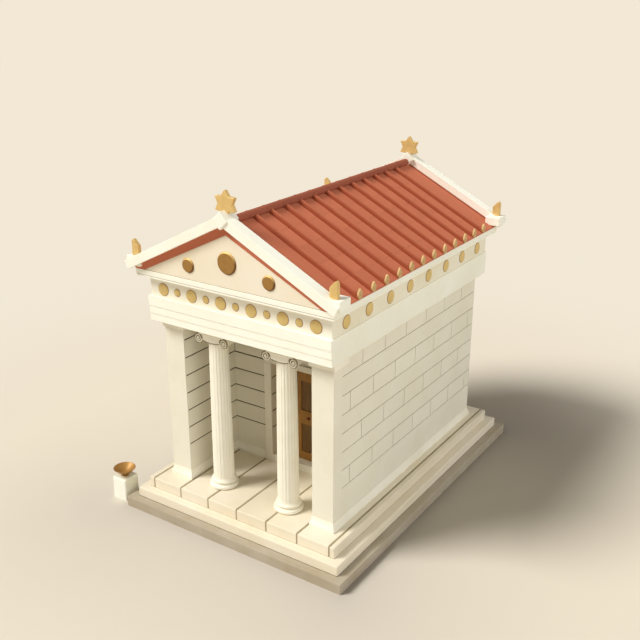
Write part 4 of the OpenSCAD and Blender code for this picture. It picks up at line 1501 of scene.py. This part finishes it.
@dataclass
class Entablature(SubAssembly):
    """Architrave, frieze with its discs, and the level cornice."""

    arris_mm: float = 9.0
    fasciae: tuple[float, ...] = (4.795, 4.975, 5.160)   # lower edges of the three bands
    fascia_step: float = 0.014
    fillet: float = 0.030        # the lowest member of the cornice
    groove: float = 0.009        # height of the grooves that part its members
    side_shade: float = -0.3    # painted shade on the long sides
    frieze_shade: float = -0.6           # painted shade on the long sides of the frieze, under the cornice
    ends: tuple[int, float, float] = (6, 0.815, 0.192)   # large discs: count, pitch, height
    sides: tuple[int, float, float] = (8, 0.892, 0.215)
    large: float = 0.148
    small: float = 0.092
    small_out: float = 0.8       # how far a small disc stands out, as a share of a large one
    lip: float = 0.008           # width of the dark plate that shows round a disc as painted shade
    disc_rim: float = 0.006

    def build(self) -> None:
        """Build the three courses from the bottom up."""
        front, rear = corners("front_architrave"), corners("rear_architrave")
        joints = [(Axis.Y, front[1].y), (Axis.Y, rear[0].y)]
        nodes = ["front_architrave", "side_architraves", "rear_architrave"]
        low, high = corners(*nodes)
        architrave = Shape().node(nodes[1]).node(nodes[2])
        tops = (*self.fasciae[1:], high.z)
        for i, (z0, z1) in enumerate(zip(self.fasciae, tops)):
            out = low.y + self.fascia_step * (2 - i)
            architrave.box((low.x, out, z0), (high.x, front[1].y, z1))
        architrave.bevel(self.arris_mm, 3, flat=[*joints, *((Axis.Z, z) for z in tops)])
        self._shade_sides(architrave, self.side_shade).piece(
            Slot.MARBLE, *nodes, name="Architrave", finish=CORNICE_MARBLE)
        low, high = corners("frieze_ends", "frieze_sides")
        frieze = Shape().node("frieze_ends").node("frieze_sides").bevel(
            self.arris_mm, 3, flat=[*joints, (Axis.Z, high.z), (Axis.Z, low.z)])
        self._shade_sides(frieze, self.frieze_shade).piece(
            Slot.MARBLE, "frieze_ends", "frieze_sides", name="Frieze")
        self._cornice()
        low, high = corners("bed_mouldings")
        wall = corners("frieze_ends")[1].y
        tall, out = high.z - low.z, high.y - wall
        hollow = [(wall + out - (out * 0.75) * math.cos(a),
                   high.z - 0.012 - (tall - 0.030) * (1 - math.sin(a)))
                  for a in (math.radians(9 * i) for i in range(11))]
        Shape().prism([(wall, high.z), (wall, low.z), (wall + out * 0.25, low.z), *hollow,
                       (high.y, high.z)], Axis.X, low.x, high.x).both(Axis.Y).piece(
            Slot.MARBLE, "bed_mouldings")
        self._discs()

    @staticmethod
    def _shade_sides(course: Shape, amount: float) -> Shape:
        """Paint shade on the long sides of a course."""
        return course.weather(lambda normal: amount if abs(normal.x) > 0.6 else 0.0)

    def _cornice(self) -> None:
        """Build the level cornice: a fillet, a groove, the broad face, a groove at the top, and
        dark strips of painted shade in the grooves.
        """
        low, high = corners("cornice_ends")
        drip, groove, sunk = low.z + self.fillet, self.groove, self.groove * 2

        def inset(shape: Shape, x: float, y: float, z0: float, z1: float) -> Shape:
            """Add a band that lies back from the face by some amounts."""
            return shape.box((low.x + x, low.y + y, z0), (high.x - x, high.y - y, z1))

        course, dark = Shape(), Shape()
        for z0, z1, back in ((low.z - 0.014, drip, 0.010), (drip - 0.002, drip + groove, sunk),
                             (drip + groove, high.z - groove, 0.0),
                             (high.z - groove - 0.002, high.z, sunk)):
            course.join(inset(Shape(), back, back, z0, z1).bevel(
                self.arris_mm if back < sunk else 1, 2))
        self._shade_sides(course, self.side_shade).piece(
            Slot.MARBLE, "cornice_ends", "cornice_sides", name="Cornice", finish=CORNICE_MARBLE)
        # dark strips of tan limestone in both grooves: painted shade lines
        for z0 in (drip, high.z - groove):
            inset(dark, sunk * 1.5, sunk - 0.006, z0, z0 + groove - 0.001)
        dark.piece(Slot.MARBLE, name="Cornice_grooves", finish=LIMESTONE)

    def _discs(self) -> None:
        """Set the gilded discs in a row on each side, each on a dark bronze plate that paints the
        shade round it.
        """
        self._rows(self._disc, DULL_GILDING).piece(
            Slot.GILDING, "frieze_discs", finish=DULL_GILDING)
        # dark plates behind the discs: painted shade round each disc
        self._rows(self._plate, DARK_BRONZE).piece(
            Slot.GILDING, name="Frieze_disc_plates", finish=DARK_BRONZE)

    def _rows(self, shape: Callable[[float, float], Shape], finish: Finish) -> Shape:
        """Lay one shape in rows: large and small ones on the ends, large ones on the sides.

        Args:
            shape: gives the shape for a radius and a height.
            finish: its finish.

        Returns:
            All the rows.
        """
        low, high = corners("frieze_ends")
        out = corners("frieze_discs")[1].x - high.x
        rows = Shape()
        for radius, share, axis, (count, pitch, up) in (
                (self.large, 1.0, Axis.Y, self.ends),
                (self.small, self.small_out, Axis.Y, (self.ends[0] - 1, *self.ends[1:])),
                (self.large, 1.0, Axis.X, self.sides)):
            item = Field.of(shape(radius, out * share), finish, Columns=count, Column_Pitch=pitch)
            for sign in (-1, 1):
                at = (0, sign * high.y) if axis is Axis.Y else (sign * high.x, 0)
                rows.join(item, facing(*at, low.z + up, axis, sign))
        return rows

    @staticmethod
    def _plate(radius: float, out: float) -> Shape:
        """Turn the thin dark plate behind a disc, painted shade round its edge."""
        return Shape().turned([(0.0, -0.010), (radius, -0.010), (radius, out * 0.18),
                               (0.0, out * 0.18)], steps=48)

    def _disc(self, radius: float, out: float) -> Shape:
        """Turn a shallow dome with a narrow rim.

        Args:
            radius: radius of the plate behind it.
            out: how far it stands out.

        Returns:
            The disc, flat on its back.
        """
        radius -= self.lip
        wall = out * 0.42
        ball = (radius ** 2 + (out - wall) ** 2) / (2 * (out - wall))
        dome = [(r, math.sqrt(ball ** 2 - r ** 2) - ball + out)
                for r in ((radius - self.disc_rim) * (1 - i / 10) for i in range(10))]
        return Shape().turned([(0.0, -0.010), (radius, -0.010), (radius, wall - 0.003),
                               (radius - 0.002, wall), *dome, (0.0, out)], steps=48)


@dataclass
class Gable(SubAssembly):
    """The two tympana with their shields, and the cornices that rise over them."""

    arris_mm: float = 14.0
    block_mm: float = 20.0
    corner_mm: float = 30.0
    painted_brightness: float = 0.3        # painted light on the tops
    shield_share: float = 0.75   # how far a shield's face stands out, of the room it has
    large: float = 0.248
    small: float = 0.166
    rim: float = 0.034

    def build(self) -> None:
        """Build both gables."""
        Shape().node("tympana").bevel(4, 2).piece(Slot.TYMPANUM, "tympana")
        self._shields()
        for node in ("front_raking_cornices", "rear_raking_cornices"):
            # the tops of the raking cornices get painted light
            Shape().node(node).bevel(self.arris_mm, 3, flat=[(Axis.X, 0.0)]).weather(
                lambda normal: self.painted_brightness if normal.z > 0.5 else 0.0).piece(
                Slot.MARBLE, node, finish=CORNICE_MARBLE)
        for node, width, segments, angle in (("ridge_blocks", self.block_mm, 3, 28.0),
                                             ("corner_blocks", self.corner_mm, 4, 50.0)):
            Shape().node(node).bevel(width, segments, angle=angle).piece(
                Slot.MARBLE, node, finish=CORNICE_MARBLE)

    def _shields(self) -> None:
        """Turn the bronze shields: a large one in the middle and a small one on each side."""
        low, high = corners("gable_discs")
        face = corners("tympana")[1].y
        out = (high.y - face) * self.shield_share
        large, small = self.large, self.small
        places = [(0.0, high.z - large, large), (high.x - small, low.z + small, small),
                  (small - high.x, low.z + small, small)]
        shields, rims = Shape(), Shape()
        for sign in (-1, 1):
            for x, z, radius in places:
                inner = radius - self.rim
                place = facing(x, sign * face, z, Axis.Y, sign)
                rims.turned([(0.0, -0.020), (radius - 0.006, -0.020), (radius, -0.014),
                             (radius, 0.002), (radius - 0.026, out - 0.002),
                             (radius - 0.030, out), (inner, out - 0.003), (0.0, out - 0.003)],
                            place, 80)
                shields.turned([(0.0, -0.010), (inner, -0.010), (inner, out - 0.001),
                                (0.0, out)], place, 80)

        def shaded_below(at: Vector) -> float:
            """Return 0 on the upper part of a rim, and 1 below it, where shade is painted."""
            _, z, radius = min(places, key=lambda it: math.hypot(at.x - it[0], at.z - it[1]))
            return min(1.0, max(0.0, 1.1 - (at.z - z) / radius * 1.3))

        # the lower part of each gilded rim gets painted shade
        rims.grow(shaded_below).piece(Slot.BRONZE, name="Gable_shield_rims", finish=GILDING)
        shields.piece(Slot.BRONZE, "gable_discs", name="Gable_shields")


@dataclass
class Roof(SubAssembly):
    """Clay roof: flat pan tiles, half-round cover tiles over their joints, and ridge tiles."""

    ribs: int = 12
    pitch: float = 0.539
    cover_width: float = 0.160
    cover_height: float = 0.084
    rows: int = 5
    step: float = 0.004          # how much a tile stands over the one below it
    rim: float = 0.008           # how far a pan turns up along its edges
    flat: float = 0.36           # flat share of a pan
    sunk: float = 0.012          # how far a cover reaches into the bed
    shade_fade: float = 0.060         # width over which the painted shade fades out towards the crest of a cover
    ridge_tiles: int = 13
    ridge_arc: Point = (-35.0, 250.0)    # where a ridge tile begins, and how far it goes round
    bed: float = 0.022           # width of the clay fillet along a raking cornice
    bed_height: float = 0.030
    ridge_lift: float = 0.035    # the ridge tiles' axis over the meeting of the slopes
    smooth: float = 50.0

    def build(self) -> None:
        """Build both slopes and the ridge."""
        self.eave = corners("right_roof_slope")[1].x
        self.eave_z = corners("antefixes")[0].z
        ridge = corners("ridge_cover")[1]
        self.ridge_z = ridge.z - ridge.x - self.ridge_lift
        self.slope = math.atan2(self.ridge_z - self.eave_z, self.eave)
        self.run = math.hypot(self.ridge_z - self.eave_z, self.eave)
        self.start = ridge.x * 0.55 / math.cos(self.slope)    # the tiles start under the ridge
        self.length = (self.run - self.start) / self.rows
        # the right slope: X down the slope, Y along the ridge, Z out
        self.place = (Matrix.Translation((self.eave / 2, 0, (self.eave_z + self.ridge_z) / 2))
                      @ Matrix.Rotation(self.slope, 4, "Y"))
        for side, sign, turn in (("left", -1, 180), ("right", 1, 0)):
            for sort, tiles, nodes in (
                    ("pan", self._deck().join(self._pans()), [f"{side}_roof_slope"]),
                    ("cover", self._covers(), [])):
                Shape().join(tiles, placed(0, 0, 0, turn)).tone_blocks(21 + sign).piece(
                    Slot.TILE, *nodes, name=f"{side.capitalize()}_{sort}_tiles", smooth=self.smooth)
        self._bedding()
        self._ridge()

    def _bedding(self) -> None:
        """Lay the clay fillet that closes the tiles against the raking cornices; its dark tone is
        also painted shade along that seam.
        """
        edge = corners("front_raking_cornices")[1].y
        strip = Shape().box((-self.run / 2 + 0.06, edge - 0.01, -0.02),
                            (self.run / 2 - 0.02, edge + self.bed, self.bed_height))
        Shape().join(strip, self.place).both(Axis.X).both(Axis.Y).piece(
            Slot.TILE, name="Roof_bedding", finish=RIDGE_TILE)

    def _deck(self) -> Shape:
        """Build the bed of the right slope, thin at the eave and thick at the ridge.

        Returns:
            The bed.
        """
        low, high = corners("right_roof_slope")
        gable = corners("tympana")[1]
        outline = [(0.0, gable.z), (0.0, self.ridge_z), (self.eave, self.eave_z),
                   (self.eave, low.z), (gable.x, low.z)]
        return Shape().prism(outline, Axis.Y, low.y, high.y)

    def _laid(self, sections: Sequence[Sequence[Vector]], ribs: int) -> Shape:
        """Lay one sort of tile over the right slope, from under the ridge to the eave.

        Args:
            sections: sections of one tile.
            ribs: number of tiles along the eave.

        Returns:
            The tiles.
        """
        return Field.of(Shape().loft(sections), TILE,
                        self.place @ Matrix.Translation((self.start / 2, 0, 0)),
                        Columns=self.rows, Column_Pitch=self.length, Rows=ribs,
                        Row_Pitch=self.pitch)

    def _pans(self) -> Shape:
        """Lay the pans: nearly flat, and turned up along both edges.

        Returns:
            The pans of the right slope.
        """
        end, half = self.length / 2, self.pitch / 2 - 0.003
        across = [-half + 2 * half * i / 24 for i in range(25)]
        flat = half * self.flat
        sections = []
        for at, lift in ((-end, 0.001), (end - 0.004, 0.001 + self.step),
                         (end, 0.001 + self.step * 0.4)):
            ring = [Vector((at, y, lift + self.rim * (
                max(0.0, abs(y) - flat) / (half - flat)) ** 2)) for y in across]
            sections.append([*ring, Vector((at, half, -0.010)), Vector((at, -half, -0.010))])
        return self._laid(sections, self.ribs - 1)

    def _covers(self) -> Shape:
        """Lay the covers over the joints of the pans, each with painted shade on one flank.

        Returns:
            The covers of the right slope.
        """
        end, sections = self.length / 2, []
        for at, grow in ((-end, 0.0), (end - 0.004, self.step), (end, self.step * 0.3)):
            half, tall = self.cover_width / 2 + grow, self.cover_height + grow + self.sunk
            sections.append([Vector((at, half * math.cos(a), -self.sunk + tall * math.sin(a)))
                             for a in (math.pi * i / 14 for i in range(15))])
        shift = (self.ribs - 1) / 2

        def growth(place: Vector) -> float:
            """Return 1 on the flank of a cover where shade is painted, less at its crest, 0 beyond
            it.
            """
            row = place.y / self.pitch + shift
            return min(1.0, max(0.0, (round(row) - row) * self.pitch / self.shade_fade))

        return self._laid(sections, self.ribs).grow(growth)

    def _ridge(self) -> None:
        """Lay the ridge tiles, each over the end of the next."""
        low, high = corners("ridge_cover")
        radius = high.x - 0.015
        length = (high.y - low.y) / self.ridge_tiles
        start, turn = self.ridge_arc
        sections = []
        for at, grow in ((-length / 2, -0.006), (-length / 2 + 0.004, 0.0),
                         (-length / 2 + 0.045, 0.0), (-length / 2 + 0.050, -0.006),
                         (length / 2, -0.006)):
            sections.append([Vector((x, at, z)) for x, z in arc(
                (0.0, 0.0), radius + grow, start, start + turn, 30)])
        Field.of(Shape().loft(sections), TILE, placed(0, 0, high.z - radius), Columns=1,
                 Rows=self.ridge_tiles, Row_Pitch=length).tone_blocks(31).piece(
            Slot.TILE, "ridge_cover", name="Ridge_tiles", smooth=self.smooth, finish=RIDGE_TILE)


@dataclass
class Ornaments(SubAssembly):
    """Gilded stars on the ridge, leaves on the corners and antefixes along the eaves."""

    star_radius: float = 0.295
    star_notch: float = 0.62
    star_depth: float = 0.105
    tip_mm: float = 30.0
    leaf: tuple[Point, ...] = ((0, 0), (0, 0.82), (0.1, 0.96), (0.24, 1), (0.4, 0.94),
                               (0.66, 0.8), (0.9, 0.67), (1, 0.58), (1, 0))
    leaf_width: float = 0.190
    leaf_depth: float = 0.100
    antefix: tuple[Point, ...] = ((-0.3, 0), (-0.42, 0.16), (-0.5, 0.38), (-0.42, 0.58),
                                  (-0.22, 0.82), (0, 1), (0.22, 0.82), (0.42, 0.58),
                                  (0.5, 0.38), (0.42, 0.16), (0.3, 0))
    antefix_width: float = 0.160
    antefix_depth: float = 0.044
    antefixes: int = 12
    stand_off: float = 0.034     # how far an antefix stands over the end of its cover tile
    pitch: float = 0.539

    def build(self) -> None:
        """Build the three sorts of ornament."""
        self._stars()
        self._corner_leaves()
        self._antefixes()

    def _stars(self) -> None:
        """Build the two six-pointed stars, with rounded tips and soft arrises."""
        high = corners("ridge_stars")[1]
        middle = high.z - self.star_radius
        points = [(r * math.sin(a), middle + r * math.cos(a)) for a, r in (
            (math.radians(30 * i), self.star_radius * (self.star_notch if i % 2 else 1))
            for i in range(12))]
        stars = Shape()
        for sign in (-1, 1):
            outer = sign * high.y
            stars.prism(points, Axis.Y, *sorted((outer, outer - sign * self.star_depth)))

        def tip(edge: Edge) -> bool:
            """Tell whether an edge is the tip of a ray."""
            return all(math.hypot(v.co.x, v.co.z - middle) > self.star_radius * 0.9
                       for v in edge.verts) and abs(edge.verts[0].co.y - edge.verts[1].co.y) > 0.01

        stars.bevel(self.tip_mm, 5, pick=tip).bevel(14, 3).piece(Slot.GILDING, "ridge_stars")

    def _corner_leaves(self) -> None:
        """Build the four half leaves on the corners of the roof."""
        low, high = corners("corner_leaves")
        outline = [(high.x - self.leaf_width * x, low.z + (high.z - low.z) * z)
                   for x, z in self.leaf]
        leaf = Shape().prism(outline, Axis.Y, -high.y, -high.y + self.leaf_depth)
        leaf.bevel(18, 3, flat=[(Axis.Z, low.z)], angle=40.0).both(Axis.X).both(Axis.Y).piece(
            Slot.GILDING, "corner_leaves")

    def _antefixes(self) -> None:
        """Set a row of pointed leaves on each eave."""
        low, high = corners("antefixes")
        outline = [(self.antefix_width * y, (high.z - low.z) * z) for y, z in self.antefix]
        leaf = Shape().prism(outline, Axis.X, -self.antefix_depth, 0.0).bevel(4, 2, angle=20.0)
        Field.of(leaf, GILDING, placed(high.x + self.stand_off, 0, low.z), Columns=1,
                 Rows=self.antefixes, Row_Pitch=self.pitch).both(Axis.X).piece(
            Slot.GILDING, "antefixes", finish=WORN_GILDING)


@dataclass
class Altar(SubAssembly):
    """Altar block with its bronze offering bowl, which stands beside the steps."""

    rounding_mm: float = 45.0
    wall: float = 0.014          # of the bowl
    foot: float = 0.045          # height of its foot
    base: tuple[Point, ...] = ((0.0, 0.0), (0.098, 0.0), (0.100, 0.006), (0.088, 0.018),
                               (0.070, 0.030))
    flare: tuple[Point, ...] = ((0.078, 0.0), (0.115, 0.016), (0.160, 0.048), (0.205, 0.088))
    hollow: tuple[Point, ...] = ((0.205, 0.096), (0.160, 0.060), (0.112, 0.030))

    def build(self) -> None:
        """Build the block and the bowl; all the block but its front gets painted shade."""
        low, _ = corners("altar_block")
        # every face of the altar but the front gets painted shade
        Shape().node("altar_block").bevel(
            self.rounding_mm, 6, flat=[(Axis.Z, low.z)]).weather(
            lambda normal: 0.0 if normal.y < -0.6 else -1.0).piece(
            Slot.STEP_MARBLE, "altar_block", finish=CORNICE_MARBLE)
        low, high = corners("offering_bowl")
        radius, tall = (high.x - low.x) / 2, high.z - low.z
        profile = [*self.base, *((r, self.foot + z) for r, z in self.flare),
                   (radius - 0.022, tall - 0.022), (radius - 0.002, tall - 0.008),
                   (radius, tall - 0.003), (radius - 0.003, tall), (radius - 0.010, tall - 0.001),
                   (radius - 0.024 - self.wall * 0.6, tall - 0.022),
                   *((r - self.wall, self.foot + z) for r, z in self.hollow),
                   (0.050, self.foot + 0.016), (0.0, self.foot + 0.014)]
        Shape().turned(profile, placed(
            (low.x + high.x) / 2, (low.y + high.y) / 2, low.z)).piece(
            Slot.BRONZE, "offering_bowl", smooth=60.0)


# ---- the studio ----

BACKDROP = "#F2E8D5"


def seen(add: Adder) -> Node:
    """Find the rays that see the backdrop: from the camera, or off metal or glass.

    Args:
        add: adds a node to the material or the world.

    Returns:
        A node that gives 1 for them.
    """
    path = add("ShaderNodeLightPath").outputs
    direct = add(Math.MAXIMUM, path["Is Camera Ray"], path["Is Transmission Ray"])
    return add(Math.MAXIMUM, direct, path["Is Glossy Ray"])


@dataclass(frozen=True)
class FloorFinish(Finish):
    """Pale matt floor, with painted shade round the building, which turns into the backdrop."""

    shade_reach: float = 5.0            # how far the painted shade round the building reaches
    footprint: Triple = (3.05, 4.28, 0.0)
    near: float = 6.0            # from here on the floor turns into the backdrop
    far: float = 18.0

    def shade(self, add: Adder, place: Socket) -> Node:
        """Shade the floor, and far away the backdrop itself.

        Args:
            add: adds a node to the material.
            place: the Object coordinates.

        Returns:
            The shader.
        """
        distance = add(VECTOR_MATH, place, operation="LENGTH")
        share = add(Math.MULTIPLY, add(RANGE, distance, self.near, self.far,
                                       interpolation_type="SMOOTHSTEP"), seen(add))
        where = add(VECTOR_MATH, place, operation="ABSOLUTE")
        beyond = add(VECTOR_MATH, add(VECTOR_MATH, where, self.footprint, operation="SUBTRACT"),
                     (0.0, 0.0, 0.0), operation="MAXIMUM")
        gap = add(Math.POWER, add(VECTOR_MATH, beyond, operation="LENGTH"), 0.5)
        floor = add("ShaderNodeBsdfPrincipled", Roughness=0.95, Specular_IOR_Level=0.0,
                    Base_Color=add(MIX, add(RANGE, gap, From_Max=self.shade_reach ** 0.5),
                                   **self.tones))
        return add("ShaderNodeMixShader", share, floor,
                   add("ShaderNodeEmission", linear(BACKDROP), 1.0))


@dataclass
class Studio:
    """Pale floor, soft light and the camera."""

    # the first tone is the painted shade next to the building, the second the floor beyond it
    floor: FloorFinish = FloorFinish("Pale studio floor", "#CEC7BD", "#F7ECDA")
    half_floor: float = 300.0
    sky: float = 0.20
    sky_tone: str = "#FFFCF6"
    key: float = 3.10
    key_tone: str = "#FFFDF8"
    key_angle: float = 22.0      # a wide source, for soft shadows
    key_from: Triple = (-1.0, -1.0, 1.414)
    fill: float = 1.74           # from the right, on the building alone
    fill_tone: str = "#F9FBFB"
    fill_angle: float = 90.0
    fill_from: Triple = (1.0, -0.08, 0.30)
    lens: float = 50.0
    camera_at: Triple = (11.190, -17.216, 12.022)
    camera_turn: Triple = (68.957, 0.0, 33.7235)

    def build(self) -> None:
        """Build the floor, the world, the lamps and the camera."""
        floor = self._floor()
        self._world()
        self._lamp("Key", self.key, self.key_tone, self.key_angle, self.key_from)
        fill = self._lamp("Fill", self.fill, self.fill_tone, self.fill_angle, self.fill_from)
        unlit = bpy.data.collections.new("Not lit by the fill")
        unlit.objects.link(floor)
        unlit.collection_objects[0].light_linking.link_state = "EXCLUDE"
        fill.light_linking.receiver_collection = unlit
        self._camera()

    def _floor(self) -> Object:
        """Lay a wide floor.

        Returns:
            The floor.
        """
        shape, half = Shape(), self.half_floor
        shape.mesh.faces.new([shape.mesh.verts.new((x, y, 0.0)) for x, y in (
            (-half, -half), (half, -half), (half, half), (-half, half))])
        floor = stand("Studio_floor", shape.plain("Studio_floor"))
        floor.data.materials.append(material_of(self.floor))
        return floor

    def _world(self) -> None:
        """Light evenly from all sides, and show the backdrop to the rays that see it."""
        world = bpy.context.scene.world = bpy.data.worlds.new("Studio")
        add = nodes_of(world)
        light, wall = (add("ShaderNodeBackground", linear(tone), strength)
                       for tone, strength in ((self.sky_tone, self.sky), (BACKDROP, 1.0)))
        add("ShaderNodeOutputWorld", add("ShaderNodeMixShader", seen(add), light, wall))

    @staticmethod
    def _lamp(name: str, strength: float, tone: str, angle: float, source: Triple) -> Object:
        """Hang a soft distant lamp.

        Args:
            name: name of the lamp.
            strength: its strength.
            tone: its colour.
            angle: how wide it looks, in degrees.
            source: direction that it shines from.

        Returns:
            The lamp.
        """
        lamp = bpy.data.lights.new(name, "SUN")
        lamp.energy, lamp.color, lamp.angle = strength, linear(tone)[:3], math.radians(angle)
        holder = stand(name, lamp)
        holder.rotation_euler = Vector(source).to_track_quat("Z", "Y").to_euler()
        return holder

    def _camera(self) -> None:
        """Set up the camera."""
        data = bpy.data.cameras.new("Camera")
        data.lens, data.sensor_width, data.clip_end = self.lens, 36.0, 1000.0
        camera = bpy.context.scene.camera = stand("Camera", data)
        camera.location = self.camera_at
        camera.rotation_euler = [math.radians(a) for a in self.camera_turn]


def main() -> None:
    """Build the treasury and its studio, and set the view transform."""
    logging.basicConfig(level=logging.INFO, format="%(name)s: %(message)s")
    for part in (Crepis, Masonry, WallTrim, Columns, Doorway, Entablature, Gable, Roof,
                 Ornaments, Altar, Studio):
        part().build()
    bpy.context.scene.view_settings.view_transform = "Standard"


if __name__ == "__main__":
    main()
